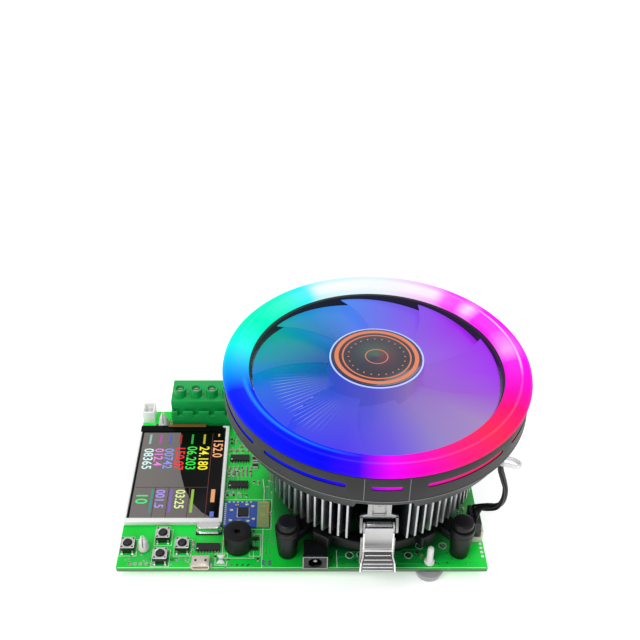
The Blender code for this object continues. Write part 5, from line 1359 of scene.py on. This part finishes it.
def make_rotor():
    _, _, _, foil_low, top = stand("hub_cap")
    hub_top = foil_low - 0.3
    cup = [(0, hub_top), (18.5, hub_top), (18.9, hub_top + 0.25), (CUP_R - 0.35, hub_top - 0.1)]
    cup += [(CUP_R, hub_top - 1.2), (CUP_R, CUP_BOTTOM), (CUP_R - CUP_WALL, CUP_BOTTOM)]
    cup += [(CUP_R - CUP_WALL, hub_top - CUP_WALL), (0, hub_top - CUP_WALL)]
    rim = rectangle(18.35, 19.0, hub_top - 0.1, hub_top + 0.34)
    foil = [(0, foil_low), (LABEL_R, foil_low), (LABEL_R, top - 0.05)]
    foil += [(LABEL_R - 0.1, top - 0.02), (0, top - 0.02)]

    def blades(bm):
        for i in range(BLADES):
            blade(bm, 360 / BLADES * i + BLADE_FIRST)

    def label_print(bm):
        for inner, outer in ((15.3, 17.0), (13.4, 14.0), (4.3, 4.7)):
            lathe(bm, rectangle(inner, outer, top - PRINT_STEP, top), HUB_FOOT, 120, closed=True)
        dot = [(0, top - PRINT_STEP), (0.34, top - PRINT_STEP), (0.34, top), (0, top)]
        for i in range(24):
            lathe(bm, dot, round_the_hub(15 * i, 11.4, 0), 12)

    make("rotor_blades", blades, [BLADE], "rotor", stands_for=("fan_rotor",), angle=40)
    make_turned("rotor_cup", eased(cup, 0.3, 2, closed=False), HUB_FOOT, 120, [HUB_SHELL], "rotor")
    make_turned("rotor_rim", eased(rim, 0.15, 2), HUB_FOOT, 120, [HUB_EDGE], "rotor", closed=True)
    make_turned("label_foil", foil, HUB_FOOT, 120, [FOIL], "rotor", stands_for=("hub_cap",))
    make("label_print", label_print, [COPPER_INK], "rotor")
    refined("rotor_shaft", ZINC, "rotor", bevel=0.05)


# Latch: the strap's pressed ribs, and the ribs and rails of the lever's tab

LEVER_FRONT = (  # (front, height, half width) down the lever
    (-4.3, 28.0, 6.1),
    (-4.6, 21.6, 6.1),
    (-5.2, 18.4, 6.1),
    (-6.4, 16.4, 6.3),
    (-7.7, 14.0, 7.0),
    (-8.9, 10.2, 7.3),
)
RUNGS = (16.9, 15.3, 13.8, 12.3, 10.9)  # heights
STRAP_RIBS = (  # (reach to both sides, low, high)
    ((-2.95, -2.05), 35.4, 47.6), ((2.05, 2.95), 35.4, 47.6), ((-2.9, 2.9), 34.9, 35.8),
)
STRAP_FACE = -1.5
LEVER_HALF = 0.46  # from the middle of the lever's strip to its front
FACE_Y = -4.75  # the plate's back, in front of the hook's barrel


def lever_front(z):
    """The lever's front face and half width at a height."""
    for (y0, z0, w0), (y1, z1, w1) in zip(LEVER_FRONT, LEVER_FRONT[1:]):
        if z1 <= z <= z0:
            share = (z0 - z) / (z0 - z1)
            return y0 + (y1 - y0) * share - LEVER_HALF, w0 + (w1 - w0) * share
    raise ValueError(z)


def plate(bm, across, low, high, ease, back, front):
    """A flat plate that faces forward: across is its reach to both sides of the latch's middle."""
    prism(bm, eased(rectangle(HUB.x + across[0], HUB.x + across[1], low, high), ease), back, front, "Y")


def make_latch():
    def ribs(bm):
        for across, low, high in STRAP_RIBS:
            plate(bm, across, low, high, 0.4, STRAP_FACE - 0.35, STRAP_FACE + 0.2)
        dome = [(0, 0), (0.95, 0), (0.8, 0.25), (0.45, 0.4), (0, 0.45)]
        moved(bm, turned_at((HUB.x, STRAP_FACE, 40.4), 90, "X"), lathe, dome, (0, 0, 0), 24)

    def face(bm):
        """The plate in front of the hook's barrel."""
        plate(bm, (-5.6, 5.6), 20.6, 31.0, 0.5, FACE_Y - 0.35, FACE_Y)

    def rungs(bm):
        for z in RUNGS:
            y, half = lever_front(z)
            plate(bm, (1.1 - half, half - 1.1), z - 0.22, z + 0.22, 0.2, y - 0.3, y + 0.15)

    # A thin strip over the fold in the lit steel: a painted highlight along the bend.
    def fold(bm):
        y, half = lever_front(18.7)
        plate(bm, (-half, half), 18.3, 19.1, 0.25, y - 0.4, y + 0.1)

    def rails(bm):
        for side in (-1, 1):
            for ends in zip(LEVER_FRONT, LEVER_FRONT[1:]):
                rings = []
                for y, z, half in ends:
                    x, y = HUB.x + side * (half - 0.35), y - LEVER_HALF
                    rings.append([(a, b, z) for a, b in rectangle(x - 0.3, x + 0.3, y - 0.2, y + 0.2)])
                skin(bm, rings)

    make("strap_ribs", ribs, [NICKEL], bevel=0.12)
    make("lever_face", face, [LEVER_STEEL], "lever", bevel=0.1)
    make("lever_rungs", rungs, [STEEL_HIGHLIGHT], "lever", bevel=0.1)
    make("lever_fold", fold, [STEEL_HIGHLIGHT], "lever", bevel=0.1)
    make("lever_rails", rails, [STEEL_HIGHLIGHT], "lever")


# Fan lead: four wires in a loose bundle, through a clear tie, to the plug

LEAD_ROUTE = (
    (46.9, 32.5, 52.0),
    (58.5, 27.3, 51.6),
    (70.2, 22.8, 50.4),
    (77.0, 19.0, 49.0),
    (79.0, 16.9, 46.2),
    (79.2, 15.5, 42.6),
    (80.6, 14.8, 38.2),
    (82.3, 14.6, 32.4),
    (82.6, 15.2, 25.2),
    (81.0, 16.4, 19.8),
    (77.4, 18.3, 17.2),
)
WIRE_R = 0.55
WIRE_SPREAD = 0.68  # from the bundle's middle to each wire's


def smooth_route(points, per_span):
    """A smooth curve through the points, with per_span points from each to the next."""
    route = [Vector(p) for p in points]
    ends = [route[0] * 2 - route[1]] + route + [route[-1] * 2 - route[-2]]
    curve = []
    for a, b, c, d in zip(ends, ends[1:], ends[2:], ends[3:]):
        for k in range(per_span):
            t = k / per_span
            bend = (2 * a - 5 * b + 4 * c - d) * t * t + (3 * b - a - 3 * c + d) * t ** 3
            curve.append(0.5 * (2 * b + (c - a) * t + bend))
    curve.append(route[-1])
    return curve


def make_lead():
    plug = middle("fan_plug")
    plug_top = span("fan_plug")[1].z
    last = len(LEAD_ROUTE)

    def wires(bm):
        for k in range(4):
            points = []
            for i, place in enumerate(LEAD_ROUTE):
                turn = math.radians(45 + 90 * k + 14 * i)
                loose = 1.0 + 0.5 * max(i - last + 3, 0)
                out = Vector((math.cos(turn), 0.6 * math.sin(turn), 0.8 * math.sin(turn + 0.6)))
                points.append(Vector(place) + out * WIRE_SPREAD * loose)
            y = plug.y + (k - 1.5) * PIN_PITCH
            points.append((plug.x + 1.4, (y + plug.y) / 2 + 0.4, plug_top + 3.0))
            points.append((plug.x, y, plug_top + 0.9))
            points.append((plug.x, y, plug_top - 0.4))
            tube(bm, smooth_route(points, 6), WIRE_R, 12)

    make("lead_wires", wires, [WIRE], stands_for=("fan_lead",), angle=60)
    refined("lead_tie", TIE, bevel=0.2, segments=3)


def make_refined():
    """Nodes whose own shape is fine enough once its edges are softened."""
    for node, finish, body, bevel in (
        ("heatsink", ALUMINIUM, "board", 0.08),
        ("clip_strap", NICKEL, "board", 0.12),
        ("led_board", LED_MASK, "board", 0.05),
        ("motor_stator", COPPER, "board", 0.1),
        ("clip_lever", LEVER_STEEL, "lever", 0.12),
        ("clip_hook", NICKEL, "hook", 0.12),
    ):
        refined(node, finish, body, bevel=bevel)


# Camera, fitted to the photograph by least squares on its 640 pixel frame

FRAME_PX = 640
FOCAL_PX = 924.67
CENTRE_PX = (293.97, 321.68)
CAMERA_AT = (-3.23, -244.27, 310.84)  # board millimetres
CAMERA_PITCH = 36.86  # degrees below level
SENSOR = 36.0


def make_camera():
    data = bpy.data.cameras.new("camera")
    data.sensor_width = SENSOR
    data.lens = FOCAL_PX / FRAME_PX * SENSOR
    data.shift_x = 0.5 - CENTRE_PX[0] / FRAME_PX
    data.shift_y = CENTRE_PX[1] / FRAME_PX - 0.5
    data.clip_start = 0.01
    camera = bpy.data.objects.new("camera", data)
    bpy.context.scene.collection.objects.link(camera)
    camera.location = BOARD @ Vector(CAMERA_AT)
    camera.rotation_euler = (math.radians(90 - CAMERA_PITCH), 0, 0)
    bpy.context.scene.camera = camera


# Room: a pale floor that glows a little, soft lamps

FLOOR_HALF = 3.0
LAMPS = (  # (name, place in metres, size, watts)
    ("window", (-0.5, -0.5, 0.9), 0.6, 4.8),
    ("ceiling", (0.4, 0.3, 1.1), 0.9, 5.2),
)


def make_room():
    mesh = bpy.data.meshes.new("floor")
    outline = rectangle(-FLOOR_HALF, FLOOR_HALF, -FLOOR_HALF, FLOOR_HALF)
    mesh.from_pydata([(x, y, 0) for x, y in outline], [], [(0, 1, 2, 3)])
    floor = bpy.data.objects.new("floor", mesh)
    glow = {"Emission_Color": (1, 1, 1, 1), "Emission_Strength": 0.34}
    floor.data.materials.append(surface("pale floor", "#FAFAFA", 0.9, **glow))
    bpy.context.scene.collection.objects.link(floor)
    world = bpy.data.worlds.new("room")
    world.use_nodes = True
    world.node_tree.nodes["Background"].inputs["Color"].default_value = (1, 1, 1, 1)
    world.node_tree.nodes["Background"].inputs["Strength"].default_value = 0.68
    bpy.context.scene.world = world
    for name, place, size, power in LAMPS:
        data = bpy.data.lights.new(name, "AREA")
        data.size = size
        data.energy = power
        lamp = bpy.data.objects.new(name, data)
        lamp.location = place
        lamp.rotation_euler = (-Vector(place)).to_track_quat("-Z", "Y").to_euler()
        bpy.context.scene.collection.objects.link(lamp)
    bpy.context.scene.view_settings.view_transform = "Standard"


make_camera()
make_board()
make_chip_parts()
make_chips()
make_display()
make_buttons()
make_buzzer()
make_module()
make_crystal()
make_sockets()
make_jack_trim()
make_terminal()
make_feet()
make_push_pins()
make_bracket()
make_fan_frame()
make_light_ring()
make_rotor()
make_latch()
make_lead()
make_refined()
make_room()

bpy.context.view_layer.update()
